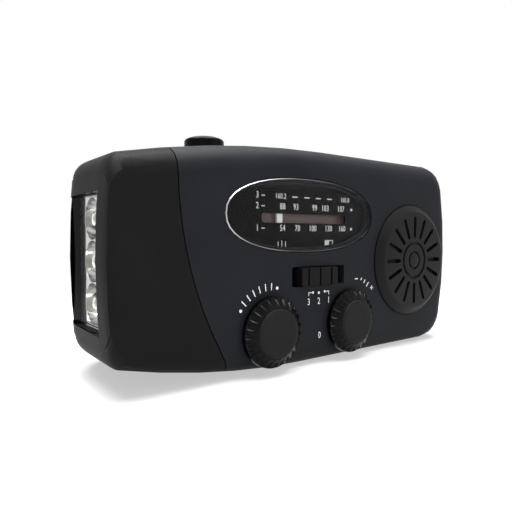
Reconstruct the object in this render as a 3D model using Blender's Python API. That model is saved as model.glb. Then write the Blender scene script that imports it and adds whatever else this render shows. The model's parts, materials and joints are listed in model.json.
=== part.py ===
"""A hand-cranked emergency radio with a torch, modelled as the separate pieces it is assembled from.

Lengths are in metres. +Z is up, the dial faces -Y, the torch is at -X and the speaker at +X.
The origin is on the flat base, below the middle of the body.
"""

import math

import bmesh
import bpy
from mathutils import Matrix, Vector

# Clearances and walls
GAP = 0.0003
OVERRUN = 0.002
WALL = 0.0022

# Body
BODY_LENGTH = 0.128
BODY_HEIGHT = 0.061
BODY_DEPTH = 0.045
EDGE_RADIUS = 0.0068
CORNER_RADIUS = 0.010
SPEAKER_END_RADIUS = 0.110
TORCH_END_INSET = 0.0003
TORCH_END_RADIUS = 0.200
TORCH_END_PLAN_RADIUS = 0.400
TORCH_END_EDGE = 0.0012
TORCH_END_TURN = 0.014
TORCH_END_TURN_DEPTH = 0.020
TAPER_TOP_FROM_END = 0.063
TAPER_TOP_RADIUS = 0.297
TAPER_BOTTOM_FROM_END = 0.0714
TAPER_BOTTOM_RADIUS = 0.220
PART_LINE_FROM_BACK = 0.009
SEAM_RADIUS = 0.090
SEAM_FROM_END = 0.0167
SEAM_BELOW_TOP = 0.0088

# Dial
DIAL_X = -0.0073
DIAL_BELOW_TOP = 0.0191
DIAL_LENGTH = 0.0545
DIAL_HEIGHT = 0.0205
DIAL_POWER = 2.3
LENS_POCKET = 0.0014
LENS_PROUD = 0.0002
LENS_EDGE = 0.0006
LENS_LEDGE = 0.0016
DIAL_PLATE_MARGIN = 0.0009
DIAL_PLATE_THICKNESS = 0.001
SLOT_LENGTH = 0.0320
SLOT_HEIGHT = 0.0025
SLOT_RIGHT_OF_DIAL = 0.0020
SLOT_BELOW_DIAL = 0.0008
BACKING_MARGIN = 0.0016
BACKING_THICKNESS = 0.0008
NEEDLE_WIDTH = 0.0020
NEEDLE_THICKNESS = 0.0008
NEEDLE_FROM_SLOT_END = 0.0072

# Tuning gears
TUNING_MODULE = 0.0008
TUNING_PINION_TEETH = 12
TUNING_IDLER_TEETH = 15
TUNING_CAPACITOR_TEETH = 20
TUNING_GEAR_WIDTH = 0.0016
CAPACITOR_RIGHT_OF_KNOB = 0.0016
RACK_BELOW_SLOT = 0.0065
RACK_BAR_HEIGHT = 0.0022
CAPACITOR_SIDE = 0.0150
TUNING_POST_RADIUS = 0.0012
PRESSURE_ANGLE = math.radians(25)
ADDENDUM_SHARE = 0.8
DEDENDUM_SHARE = 1.1
BACKLASH_SHARE = 0.16

# Knobs
KNOB_Z = 0.0114
TUNING_KNOB_X = -0.0201
VOLUME_KNOB_X = 0.00985
KNOB_RADIUS = 0.0093
KNOB_HEIGHT = 0.0038
KNOB_WALL_HEIGHT = 0.0018
KNOB_FACE_RADIUS = 0.0059
KNOB_FACE_EDGE = 0.0004
KNOB_FLUTES = 24
KNOB_FLUTE_DEPTH = 0.0007
KNOB_TOP = 0.0011
SHAFT_RADIUS = 0.0020
VOLUME_CONTROL_RADIUS = 0.0065
VOLUME_BUSH_RADIUS = 0.0036
VOLUME_CONTROL_DEPTH = 0.0048
CONTROL_FLOOR = 0.0012

# Band switch
SWITCH_X = -0.0025
SWITCH_Z = 0.02515
SWITCH_SLOT_LENGTH = 0.0204
SWITCH_SLOT_HEIGHT = 0.0055
SLIDER_LENGTH = 0.0139
SLIDER_PLAY = 0.00025
SLIDER_PROUD = 0.0015
SLIDER_OFF_CENTRE = -0.0009
SLIDER_TRAVEL = 0.0031
SLIDER_FLANGE_THICKNESS = 0.0008
SLIDER_FLANGE_LAP = 0.0012
SLIDER_STEM = 0.0030
SLIDER_GROOVE = 0.0006
SLIDER_GROOVE_PITCH = 0.0044
SWITCH_BODY_LENGTH = 0.0120
SWITCH_BODY_HEIGHT = 0.0066
SWITCH_BODY_THICKNESS = 0.0035
SWITCH_WELL = 0.0020
SWITCH_SIDE_PLAY = 0.0004

# Boards
BOARD_FROM_FRONT = 0.0110
BOARD_THICKNESS = 0.0014
BOARD_LEFT_X = -0.0420
BOARD_RIGHT_X = 0.0225
BOARD_LOW_Z = 0.0070
BOARD_HIGH_Z = 0.0535
BOARD_POST_RADIUS = 0.0018
BOARD_POSTS = ((-0.0380, 0.0500), (-0.0385, 0.0280), (0.0180, 0.0220), (-0.0055, 0.0100))

# Speaker
SPEAKER_FROM_END = 0.0246
SPEAKER_BELOW_MIDDLE = 0.0021
GRILLE_RADIUS = 0.0180
GRILLE_FACE_RADIUS = 0.0159
GRILLE_HEIGHT = 0.0020
GRILLE_THICKNESS = 0.0016
GRILLE_SPIGOT_RADIUS = 0.0150
GRILLE_SEAT = 0.0005
GRILLE_SPIGOT_WALL = 0.0014
GRILLE_SLOTS = 16
GRILLE_SLOT_WIDTH = 0.0012
GRILLE_SLOT_INNER = 0.0073
GRILLE_SLOT_OUTER = 0.0144
GRILLE_RING_RADIUS = 0.0057
GRILLE_HUB_RADIUS = 0.0027
GRILLE_GROOVE_WIDTH = 0.0007
GRILLE_GROOVE_DEPTH = 0.0007
SPEAKER_RADIUS = 0.0154
SPEAKER_DEPTH = 0.0108
SPEAKER_RIM = 0.0010
SPEAKER_NECK_RADIUS = 0.0080
SPEAKER_METAL = 0.0008
CONE_RADIUS = 0.0138
CONE_NECK_RADIUS = 0.0040
CONE_DEPTH = 0.0046
CONE_THICKNESS = 0.0005
MAGNET_THICKNESS = 0.0042
SPEAKER_WALL = 0.0013
SPEAKER_WALL_DEPTH = 0.0034

# Torch
WINDOW_HEIGHT = 0.0321
WINDOW_DEPTH = 0.0275
WINDOW_Y = -0.0020
WINDOW_BELOW_MIDDLE = 0.0005
RECESS_DEPTH = 0.0038
RECESS_FLOOR = 0.0012
HOUSING_WALL = 0.0011
TORCH_LENS_THICKNESS = 0.0007
TORCH_LENS_PROUD = 0.0003
REFLECTOR_WIDTH = 0.0120
REFLECTOR_HEIGHT = 0.0316
REFLECTOR_DEPTH = 0.0055
CUP_EDGE = 0.0002
CUP_RIM = 0.0001
CUP_THROAT_RADIUS = 0.0029
LED_RADIUS = 0.0025
LED_LENGTH = 0.0060
LED_BOARD_THICKNESS = 0.0014

# Torch button
BUTTON_X = -0.0264
BUTTON_RADIUS = 0.00565
BUTTON_PROUD = 0.0045
BUTTON_DOME = 0.0006
BUTTON_FLANGE = 0.0011
BUTTON_FLANGE_THICKNESS = 0.0012
BUTTON_TRAVEL = 0.0020
TORCH_SWITCH_SIDE = 0.0060
TORCH_SWITCH_HEIGHT = 0.0035
PLUNGER_RADIUS = 0.0016
PLUNGER_HEIGHT = 0.0016

# Solar panel
SOLAR_X = 0.0180
SOLAR_LENGTH = 0.0560
SOLAR_WIDTH = 0.0220
SOLAR_POCKET = 0.0013
SOLAR_LEDGE = 0.0024
SOLAR_COVER_THICKNESS = 0.0010
SOLAR_CELL_THICKNESS = 0.0014
SOLAR_CORNER = 0.0016

# Ferrite aerial
FERRITE_RADIUS = 0.0040
FERRITE_LENGTH = 0.0540
FERRITE_X = -0.0090
FERRITE_Z = 0.0420
COIL_THICKNESS = 0.0009
COIL_LENGTH = 0.0180
COIL_LEFT_OF_ROD = 0.0040

# Crank
CRANK_X = 0.0270
DISH_RADIUS = 0.0235
DISH_FLOOR_FROM_FRONT = 0.0293
DISH_WALL = 0.0020
CRANK_GEAR_MODULE = 0.0010
CRANK_GEAR_TEETH = 30
STEP_PINION_TEETH = 10
STEP_GEAR_TEETH = 24
ROTOR_PINION_TEETH = 10
CRANK_GEAR_WIDTH = 0.0024
STEP_GEAR_WIDTH = 0.0020
STEP_ANGLE = math.radians(202)
ROTOR_ANGLE = math.radians(194)
HUB_RADIUS = 0.0095
HUB_STEM_RADIUS = 0.0030
HUB_BELOW_BACK = 0.0031
HINGE_OFFSET = 0.0090
HINGE_ABOVE_BACK = 0.0009
HINGE_RADIUS = 0.0019
HINGE_PIN_RADIUS = 0.0009
EAR_THICKNESS = 0.0023
EAR_INSET = 0.0014
BARREL_HALF_WIDTH = 0.0030
ARM_THICKNESS = 0.0031
ARM_HALF_WIDTH = 0.0046
ARM_BELOW_HINGE = 0.0004
CRANK_KNOB_RADIUS = 0.0055
CRANK_KNOB_OFFSET = 0.0157
CRANK_KNOB_WAIST = 0.0006
CRANK_PIN_RADIUS = 0.0015
CRANK_PIN_HEAD_RADIUS = 0.0026
CRANK_PIN_HEAD_THICKNESS = 0.0012
CRANK_PIN_OFF_FLOOR = 0.0034
STEP_POST_RADIUS = 0.0015
GENERATOR_RADIUS = 0.0110
GENERATOR_LENGTH = 0.0078
ROTOR_SHAFT_RADIUS = 0.0012

# Battery
BATTERY_X = -0.0176
BATTERY_Z = 0.0295
CELL_RADIUS = 0.00525
CELL_LENGTH = 0.0300
CELL_PITCH = 0.0106
CELL_BUTTON_RADIUS = 0.0019
CELL_BUTTON_LENGTH = 0.0008
CELL_FROM_BACK = 0.0081
TRAY_WALL = 0.0014
TRAY_CLEARANCE = 0.0006
TRAY_FLOOR_CLEARANCE = 0.0005
DOOR_THICKNESS = 0.0018
DOOR_LAP = 0.0009
DOOR_CORNER = 0.0020

# Screws
SCREW_LEFT_X = -0.0260
SCREW_RIGHT_FROM_END = 0.0090
SCREW_LOW_Z = 0.0083
SCREW_TOP_LEFT_BELOW_TOP = 0.0102
SCREW_TOP_RIGHT_BELOW_TOP = 0.0145
SCREW_RADIUS = 0.0013
SCREW_HEAD_RADIUS = 0.0024
SCREW_HEAD_HEIGHT = 0.0018
SCREW_LENGTH = 0.0100
SCREW_HEAD_BELOW_BACK = 0.0028
SCREW_SLOT_WIDTH = 0.0006
SCREW_SLOT_DEPTH = 0.0008
FRONT_BOSS_RADIUS = 0.0031
FRONT_BOSS_LENGTH = 0.0060
BACK_BOSS_RADIUS = 0.0039
BOSS_WEB = 0.0020

# Telescopic aerial
AERIAL_FROM_END = 0.0100
AERIAL_FROM_BACK = 0.0031
AERIAL_BELOW_TOP = 0.0031
REBATE_DEPTH = 0.0072
REBATE_HEIGHT = 0.0060
REBATE_LINING = 0.0015
AERIAL_RADII = (0.0024, 0.0017, 0.0010)
AERIAL_LENGTH = 0.0830
AERIAL_STEP = 0.0014
AERIAL_TIP_RADIUS = 0.0021
AERIAL_TIP_LENGTH = 0.0025
FORK_LENGTH = 0.0022
FORK_CHEEK = 0.0013
FORK_GAP = 0.0030
FORK_FLOOR = 0.0005
FORK_STEM_RADIUS = 0.0015
FORK_STEM_LENGTH = 0.0024
TONGUE_LENGTH = 0.0044
TONGUE_RADIUS = 0.0019
TONGUE_PIN_RADIUS = 0.0006

# Sockets and their cover
PORT_Y = -0.0020
PORT_WIDTH = 0.0100
PORT_LOW_Z = 0.0167
PORT_HIGH_Z = 0.0445
PORT_FLOOR_FROM_END = 0.0035
PORT_BLOCK_WALL = 0.0016
USB_Z = 0.0362
USB_WIDTH = 0.0057
USB_HEIGHT = 0.0131
USB_METAL = 0.0006
USB_LENGTH = 0.0105
USB_TONGUE = 0.0016
CHARGE_Z = 0.0236
CHARGE_RADIUS = 0.0036
CHARGE_BORE = 0.0027
CHARGE_PIN = 0.0009
CHARGE_LENGTH = 0.0095
COVER_BOTTOM_Z = 0.0186
COVER_HINGE_Z = 0.0181
COVER_HINGE_FROM_END = 0.0016
COVER_HINGE_RADIUS = 0.0008
COVER_BACK = 0.0003

# Facets
FINE = 40
ROUND = 20
SMALL = 10
EDGE_STEPS = 4
INNER_EDGE_STEPS = 2
TAPER_STEPS = 5
END_STEPS = 4
SEAM_STEPS = 12
MERGE_DISTANCE = 0.000003
SHARP_ANGLE = math.radians(35)
CUP_OVERRUN = 0.0002
LAMP_COUNT = 3
CELL_COUNT = 3

# Places worked out from the sizes above
FRONT_Y = -BODY_DEPTH / 2
BACK_Y = BODY_DEPTH / 2
LEFT_X = -BODY_LENGTH / 2 + TORCH_END_INSET
RIGHT_X = BODY_LENGTH / 2
MIDDLE_Z = BODY_HEIGHT / 2
INNER_FRONT_Y = FRONT_Y + WALL
PART_LINE_Y = BACK_Y - PART_LINE_FROM_BACK
END_CENTRE_X = RIGHT_X - SPEAKER_END_RADIUS
CORNER_X = END_CENTRE_X + math.sqrt(
    (SPEAKER_END_RADIUS - CORNER_RADIUS) ** 2 - (MIDDLE_Z - CORNER_RADIUS) ** 2
)
CORNER_ANGLE = math.atan2(MIDDLE_Z - CORNER_RADIUS, CORNER_X - END_CENTRE_X)
TAPER_TOP_X = RIGHT_X - TAPER_TOP_FROM_END
TAPER_BOTTOM_X = RIGHT_X - TAPER_BOTTOM_FROM_END
SEAM_Z = BODY_HEIGHT - SEAM_BELOW_TOP
SEAM_X = LEFT_X + SEAM_FROM_END + SEAM_RADIUS

DIAL_Z = BODY_HEIGHT - DIAL_BELOW_TOP
SLOT_X = DIAL_X + SLOT_RIGHT_OF_DIAL
SLOT_Z = DIAL_Z - SLOT_BELOW_DIAL
DIAL_PLATE_Y = INNER_FRONT_Y + GAP
NEEDLE_Y = DIAL_PLATE_Y + DIAL_PLATE_THICKNESS + GAP
BACKING_Y = NEEDLE_Y + NEEDLE_THICKNESS + GAP
TUNING_GEAR_Y = NEEDLE_Y + NEEDLE_THICKNESS
TUNING_GEAR_BACK_Y = TUNING_GEAR_Y + TUNING_GEAR_WIDTH
NEEDLE_X = SLOT_X - SLOT_LENGTH / 2 + NEEDLE_FROM_SLOT_END
BOARD_Y = FRONT_Y + BOARD_FROM_FRONT
BOARD_BACK_Y = BOARD_Y + BOARD_THICKNESS
ON_BOARD_Y = BOARD_Y - GAP
BEHIND_BOARD_Y = BOARD_BACK_Y + GAP

RACK_Z = SLOT_Z - RACK_BELOW_SLOT
CAPACITOR_GEAR_RADIUS = TUNING_MODULE * TUNING_CAPACITOR_TEETH / 2
IDLER_RADIUS = TUNING_MODULE * TUNING_IDLER_TEETH / 2
TUNING_PINION_RADIUS = TUNING_MODULE * TUNING_PINION_TEETH / 2
CAPACITOR_X = TUNING_KNOB_X + CAPACITOR_RIGHT_OF_KNOB
CAPACITOR_Z = RACK_Z - CAPACITOR_GEAR_RADIUS

SPEAKER_X = RIGHT_X - SPEAKER_FROM_END
SPEAKER_Z = MIDDLE_Z - SPEAKER_BELOW_MIDDLE
SPEAKER_Y = INNER_FRONT_Y + GAP
SPEAKER_BACK_Y = SPEAKER_Y + SPEAKER_DEPTH

WINDOW_Z = MIDDLE_Z - WINDOW_BELOW_MIDDLE
RECESS_X = LEFT_X + RECESS_DEPTH
TORCH_LENS_X = RECESS_X - TORCH_LENS_PROUD
REFLECTOR_X = TORCH_LENS_X + TORCH_LENS_THICKNESS + GAP
LED_BOARD_X = REFLECTOR_X + REFLECTOR_DEPTH + GAP
HOUSING_BACK_X = LED_BOARD_X + LED_BOARD_THICKNESS
CUP_PITCH = (REFLECTOR_HEIGHT - 2 * CUP_EDGE) / LAMP_COUNT
CUP_RADIUS = CUP_PITCH / 2 - CUP_RIM

DISH_FLOOR_Y = FRONT_Y + DISH_FLOOR_FROM_FRONT
DISH_FRONT_Y = DISH_FLOOR_Y - DISH_WALL
CRANK_GEAR_RADIUS = CRANK_GEAR_MODULE * CRANK_GEAR_TEETH / 2
STEP_PINION_RADIUS = CRANK_GEAR_MODULE * STEP_PINION_TEETH / 2
STEP_GEAR_RADIUS = CRANK_GEAR_MODULE * STEP_GEAR_TEETH / 2
ROTOR_PINION_RADIUS = CRANK_GEAR_MODULE * ROTOR_PINION_TEETH / 2
CRANK_GEAR_BACK_Y = DISH_FRONT_Y - 2 * GAP
CRANK_GEAR_FRONT_Y = CRANK_GEAR_BACK_Y - CRANK_GEAR_WIDTH
STEP_GEAR_BACK_Y = CRANK_GEAR_FRONT_Y - 2 * GAP
STEP_GEAR_FRONT_Y = STEP_GEAR_BACK_Y - STEP_GEAR_WIDTH
STEP_X = CRANK_X + (CRANK_GEAR_RADIUS + STEP_PINION_RADIUS) * math.cos(STEP_ANGLE)
STEP_Z = MIDDLE_Z + (CRANK_GEAR_RADIUS + STEP_PINION_RADIUS) * math.sin(STEP_ANGLE)
ROTOR_X = STEP_X + (STEP_GEAR_RADIUS + ROTOR_PINION_RADIUS) * math.cos(ROTOR_ANGLE)
ROTOR_Z = STEP_Z + (STEP_GEAR_RADIUS + ROTOR_PINION_RADIUS) * math.sin(ROTOR_ANGLE)
HUB_TOP_Y = BACK_Y - HUB_BELOW_BACK
HINGE_X = CRANK_X - HINGE_OFFSET
HINGE_Y = BACK_Y + HINGE_ABOVE_BACK
ARM_OUTER_Y = HINGE_Y - ARM_BELOW_HINGE
ARM_INNER_Y = ARM_OUTER_Y - ARM_THICKNESS
CRANK_KNOB_X = CRANK_X + CRANK_KNOB_OFFSET

TRAY_LENGTH = CELL_LENGTH + 2 * CELL_BUTTON_LENGTH + 2 * TRAY_CLEARANCE
TRAY_HEIGHT = 2 * CELL_PITCH + 2 * CELL_RADIUS + 2 * TRAY_CLEARANCE
CELL_Y = BACK_Y - CELL_FROM_BACK
TRAY_FLOOR_Y = CELL_Y - CELL_RADIUS - TRAY_FLOOR_CLEARANCE

AERIAL_X = RIGHT_X - AERIAL_FROM_END
AERIAL_Y = BACK_Y - AERIAL_FROM_BACK
AERIAL_Z = BODY_HEIGHT - AERIAL_BELOW_TOP
REBATE_Y = BACK_Y - REBATE_DEPTH
REBATE_Z = BODY_HEIGHT - REBATE_HEIGHT
PORT_FLOOR_X = RIGHT_X - PORT_FLOOR_FROM_END
COVER_HINGE_X = RIGHT_X - COVER_HINGE_FROM_END

# Colour, roughness and metallic value of each finish
FINISHES = {
    "casing": ((0.020, 0.022, 0.025), 0.62, 0.0),
    "cap": ((0.017, 0.017, 0.018), 0.60, 0.0),
    "knob": ((0.012, 0.013, 0.014), 0.35, 0.0),
    "gloss_black": ((0.004, 0.004, 0.004), 0.15, 0.0),
    "dial": ((0.006, 0.006, 0.007), 0.30, 0.0),
    "red_bar": ((0.110, 0.055, 0.050), 0.45, 0.0),
    "white": ((0.700, 0.700, 0.690), 0.45, 0.0),
    "clear": ((0.800, 0.820, 0.830), 0.05, 0.0),
    "silver": ((0.780, 0.780, 0.780), 0.12, 1.0),
    "chrome": ((0.700, 0.700, 0.710), 0.18, 1.0),
    "steel": ((0.450, 0.450, 0.460), 0.35, 1.0),
    "board": ((0.020, 0.120, 0.045), 0.50, 0.0),
    "gear": ((0.620, 0.610, 0.570), 0.50, 0.0),
    "grey_part": ((0.120, 0.120, 0.125), 0.55, 0.0),
    "paper": ((0.015, 0.015, 0.015), 0.90, 0.0),
    "ferrite": ((0.040, 0.038, 0.038), 0.60, 0.0),
    "copper": ((0.520, 0.220, 0.090), 0.35, 1.0),
    "green_wrap": ((0.030, 0.180, 0.070), 0.40, 0.0),
    "rubber": ((0.014, 0.014, 0.015), 0.80, 0.0),
    "solar": ((0.010, 0.016, 0.045), 0.25, 0.0),
}


# Meshes
def box(low, high):
    """A block between two opposite corners."""
    low, high = Vector(low), Vector(high)
    mesh = bmesh.new()
    place = Matrix.Translation((low + high) / 2) @ Matrix.Diagonal((*(high - low), 1))
    bmesh.ops.create_cube(mesh, size=1, matrix=place)
    return mesh


def rod(start, end, radius, segments=SMALL, end_radius=None):
    """A cylinder, or a cone with an end radius, from one point to another."""
    start, end = Vector(start), Vector(end)
    turn = (end - start).to_track_quat("Z", "Y").to_matrix().to_4x4()
    mesh = bmesh.new()
    bmesh.ops.create_cone(
        mesh,
        cap_ends=True,
        segments=segments,
        radius1=radius,
        radius2=radius if end_radius is None else end_radius,
        depth=(end - start).length,
        matrix=Matrix.Translation((start + end) / 2) @ turn,
    )
    return mesh


def across(x, z, radius, low, high, segments=SMALL):
    """A cylinder that lies along Y, between two depths."""
    return rod((x, low, z), (x, high, z), radius, segments)


def loft(rings):
    """A closed skin over rings that all have the same number of points."""
    mesh = bmesh.new()
    loops = [[mesh.verts.new(point) for point in ring] for ring in rings]
    for first, second in zip(loops, loops[1:]):
        for i in range(len(first)):
            mesh.faces.new((first[i - 1], first[i], second[i], second[i - 1]))
    mesh.faces.new(loops[0])
    mesh.faces.new(loops[-1])
    bmesh.ops.recalc_face_normals(mesh, faces=mesh.faces)
    return mesh


def prism(outline, low, high):
    """An outline of (x, z) points, extruded along Y between two depths."""
    return loft([[(x, y, z) for x, z in outline] for y in (low, high)])


def turned(profile, x, z, segments=ROUND):
    """A profile of (radius, depth) points, spun about an axis along Y."""
    mesh = bmesh.new()
    points = [mesh.verts.new((x + radius, y, z)) for radius, y in profile]
    edges = [mesh.edges.new(pair) for pair in zip(points, points[1:])]
    bmesh.ops.spin(
        mesh,
        geom=points + edges,
        cent=(x, 0, z),
        axis=(0, 1, 0),
        angle=2 * math.pi,
        steps=segments,
        use_merge=True,
    )
    bmesh.ops.remove_doubles(mesh, verts=mesh.verts, dist=MERGE_DISTANCE)
    bmesh.ops.recalc_face_normals(mesh, faces=mesh.faces)
    return mesh


def ring_turned(profile, x, z, segments=ROUND):
    """A profile that closes on itself away from the axis, spun about an axis along Y."""
    return turned([*profile, profile[0]], x, z, segments)


def rounded_rectangle(x, z, length, height, radius, steps=3):
    """The (x, z) points of a rectangle with round corners."""
    points = []
    for i, (side, up) in enumerate(((1, -1), (1, 1), (-1, 1), (-1, -1))):
        centre_x = x + side * (length / 2 - radius)
        centre_z = z + up * (height / 2 - radius)
        for step in range(steps + 1):
            angle = (i - 1 + step / steps) * math.pi / 2
            points.append(
                (centre_x + radius * math.cos(angle), centre_z + radius * math.sin(angle))
            )
    return points


def moved(mesh, matrix):
    """The mesh after a transform."""
    bmesh.ops.transform(mesh, matrix=matrix, verts=mesh.verts)
    return mesh


def joined(*meshes):
    """One mesh that holds several separate ones."""
    whole = bpy.data.meshes.new("joined")
    total = bmesh.new()
    for mesh in meshes:
        mesh.to_mesh(whole)
        mesh.free()
        total.from_mesh(whole)
    bpy.data.meshes.remove(whole)
    return total


# Objects
def material_for(name, finish):
    """The piece's own material, in one of the finishes."""
    colour, roughness, metallic = FINISHES[finish]
    material = bpy.data.materials.new(name)
    material.use_nodes = True
    shader = material.node_tree.nodes["Principled BSDF"]
    shader.inputs["Base Color"].default_value = (*colour, 1)
    shader.inputs["Roughness"].default_value = roughness
    shader.inputs["Metallic"].default_value = metallic
    if finish == "clear":
        shader.inputs["Transmission Weight"].default_value = 1
    material.diffuse_color = (*colour, 1)
    return material


def add_object(name, mesh):
    """An object that holds the mesh and is in the scene."""
    data = bpy.data.meshes.new(name)
    mesh.to_mesh(data)
    mesh.free()
    piece = bpy.data.objects.new(name, data)
    bpy.context.scene.collection.objects.link(piece)
    return piece


def add_piece(name, mesh, finish, pivot=None):
    """A sub-part of the radio. A pivot moves its origin there, onto its joint's axis."""
    if pivot is not None:
        moved(mesh, Matrix.Translation(-Vector(pivot)))
    piece = add_object(name, mesh)
    piece.data.materials.append(material_for(name, finish))
    piece.data.shade_smooth()
    piece.data.set_sharp_from_angle(angle=SHARP_ANGLE)
    if pivot is not None:
        piece.location = pivot
    return piece


def shape_with(piece, mesh, operation):
    """Cuts the mesh out of the piece, adds it, or keeps what both hold. Gives the mesh's helper."""
    helper = add_object(f"{piece.name}_{operation.lower()}_{len(piece.modifiers)}", mesh)
    helper.hide_render = True
    helper.display_type = "WIRE"
    modifier = piece.modifiers.new(helper.name, "BOOLEAN")
    modifier.operation = operation
    modifier.solver = "EXACT"
    modifier.object = helper
    return helper


def cut(piece, *meshes):
    for mesh in meshes:
        shape_with(piece, mesh, "DIFFERENCE")


def unite(piece, *meshes):
    for mesh in meshes:
        shape_with(piece, mesh, "UNION")


def keep(piece, mesh):
    return shape_with(piece, mesh, "INTERSECT")


# Gears
def involute(radius, base_radius):
    """How far round a tooth's flank has turned at a radius."""
    if radius <= base_radius:
        return 0
    angle = math.acos(base_radius / radius)
    return math.tan(angle) - angle


def gear_outline(x, z, teeth, module, phase):
    """The (x, z) points of a spur gear with a tooth centred on the phase angle."""
    pitch_radius = teeth * module / 2
    base_radius = pitch_radius * math.cos(PRESSURE_ANGLE)
    tip_radius = pitch_radius + ADDENDUM_SHARE * module
    root_radius = pitch_radius - DEDENDUM_SHARE * module
    half_tooth = (math.pi / 2 - BACKLASH_SHARE) / teeth + involute(pitch_radius, base_radius)
    flank = [
        (radius, half_tooth - involute(radius, base_radius))
        for radius in (root_radius, pitch_radius, tip_radius)
    ]
    points = []
    for tooth in range(teeth):
        centre = phase + 2 * math.pi * tooth / teeth
        for radius, half in flank:
            points.append((radius, centre - half))
        for radius, half in reversed(flank):
            points.append((radius, centre + half))
    return [(x + r * math.cos(a), z + r * math.sin(a)) for r, a in points]


def meshing_phase(phase, teeth, other_teeth, direction):
    """The phase of a gear that meshes with one whose phase is known, towards a direction."""
    turned_teeth = teeth * (direction - phase) / (2 * math.pi) % 1
    return direction + math.pi - 2 * math.pi / other_teeth * (0.5 - turned_teeth)


def direction_between(x, z, other_x, other_z):
    return math.atan2(other_z - z, other_x - x)


def idler_place():
    """Where the idler meshes with both the knob's pinion and the capacitor's gear."""
    span_x, span_z = CAPACITOR_X - TUNING_KNOB_X, CAPACITOR_Z - KNOB_Z
    span = math.hypot(span_x, span_z)
    to_pinion = TUNING_PINION_RADIUS + IDLER_RADIUS
    to_capacitor = IDLER_RADIUS + CAPACITOR_GEAR_RADIUS
    along = (to_pinion**2 - to_capacitor**2 + span**2) / (2 * span)
    aside = math.sqrt(to_pinion**2 - along**2)
    x = TUNING_KNOB_X + (along * span_x - aside * span_z) / span
    z = KNOB_Z + (along * span_z + aside * span_x) / span
    return x, z


IDLER_X, IDLER_Z = idler_place()
CAPACITOR_PHASE = math.pi / 2
IDLER_PHASE = meshing_phase(
    CAPACITOR_PHASE,
    TUNING_CAPACITOR_TEETH,
    TUNING_IDLER_TEETH,
    direction_between(CAPACITOR_X, CAPACITOR_Z, IDLER_X, IDLER_Z),
)
TUNING_PINION_PHASE = meshing_phase(
    IDLER_PHASE,
    TUNING_IDLER_TEETH,
    TUNING_PINION_TEETH,
    direction_between(IDLER_X, IDLER_Z, TUNING_KNOB_X, KNOB_Z),
)
CRANK_GEAR_PHASE = STEP_ANGLE
STEP_PINION_PHASE = meshing_phase(
    CRANK_GEAR_PHASE, CRANK_GEAR_TEETH, STEP_PINION_TEETH, STEP_ANGLE
)
STEP_GEAR_PHASE = ROTOR_ANGLE
ROTOR_PHASE = meshing_phase(STEP_GEAR_PHASE, STEP_GEAR_TEETH, ROTOR_PINION_TEETH, ROTOR_ANGLE)


# Body form
def taper(run, radius):
    """How far an edge has fallen, a run past the point where its curve starts."""
    return radius - math.sqrt(max(0, radius**2 - run**2)) if run > 0 else 0


def top_edge(x):
    return BODY_HEIGHT - taper(TAPER_TOP_X - x, TAPER_TOP_RADIUS)


def bottom_edge(x):
    return taper(TAPER_BOTTOM_X - x, TAPER_BOTTOM_RADIUS)


def torch_end(y, z):
    """The X of the torch end's face at a depth and height."""
    turn = max(0, y - (BACK_Y - TORCH_END_TURN_DEPTH)) / TORCH_END_TURN_DEPTH
    turned_in = TORCH_END_TURN * (1 - math.sqrt(max(0, 1 - turn**2)))
    bulge = taper(abs(z - MIDDLE_Z), TORCH_END_RADIUS)
    slope = taper(y - FRONT_Y, TORCH_END_PLAN_RADIUS)
    return LEFT_X + bulge + slope + turned_in


def arc(x, z, radius, start, end, steps):
    """The (x, z) points of an arc."""
    angles = [start + (end - start) * step / steps for step in range(steps + 1)]
    return [(x + radius * math.cos(angle), z + radius * math.sin(angle)) for angle in angles]


def body_outline(y, wall):
    """The body's outline at a depth, or the outline a wall's thickness inside it."""
    depth = min(y - FRONT_Y, BACK_Y - y) - wall
    inset = wall + taper(EDGE_RADIUS - wall - depth, EDGE_RADIUS - wall)
    end_inset = wall + taper(TORCH_END_EDGE - (y - FRONT_Y), TORCH_END_EDGE) * (wall == 0)
    low_x = torch_end(y, inset) + end_inset + TORCH_END_EDGE
    high_x = torch_end(y, BODY_HEIGHT - inset) + end_inset + TORCH_END_EDGE
    shares = [step / TAPER_STEPS for step in range(TAPER_STEPS + 1)]
    bottom = [low_x + share * (TAPER_BOTTOM_X - low_x) for share in shares]
    top = [TAPER_TOP_X + share * (high_x - TAPER_TOP_X) for share in shares]
    quarter = math.pi / 2
    radius = CORNER_RADIUS - inset
    low_corner = (CORNER_X, CORNER_RADIUS, radius, -quarter, -CORNER_ANGLE)
    end = (END_CENTRE_X, MIDDLE_Z, SPEAKER_END_RADIUS - inset, -CORNER_ANGLE, CORNER_ANGLE)
    high_corner = (CORNER_X, BODY_HEIGHT - CORNER_RADIUS, radius, CORNER_ANGLE, quarter)
    points = [(x, bottom_edge(x) + inset) for x in bottom]
    points += arc(*low_corner, EDGE_STEPS)
    points += arc(*end, END_STEPS)[1:-1]
    points += arc(*high_corner, EDGE_STEPS)
    points += [(x, top_edge(x) - inset) for x in top]
    high_z = top_edge(high_x) - inset - TORCH_END_EDGE
    low_z = bottom_edge(low_x) + inset + TORCH_END_EDGE
    for step in range(END_STEPS + 1):
        z = high_z + step / END_STEPS * (low_z - high_z)
        points.append((torch_end(y, z) + end_inset, z))
    return [(x, y, z) for x, z in points]


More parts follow.
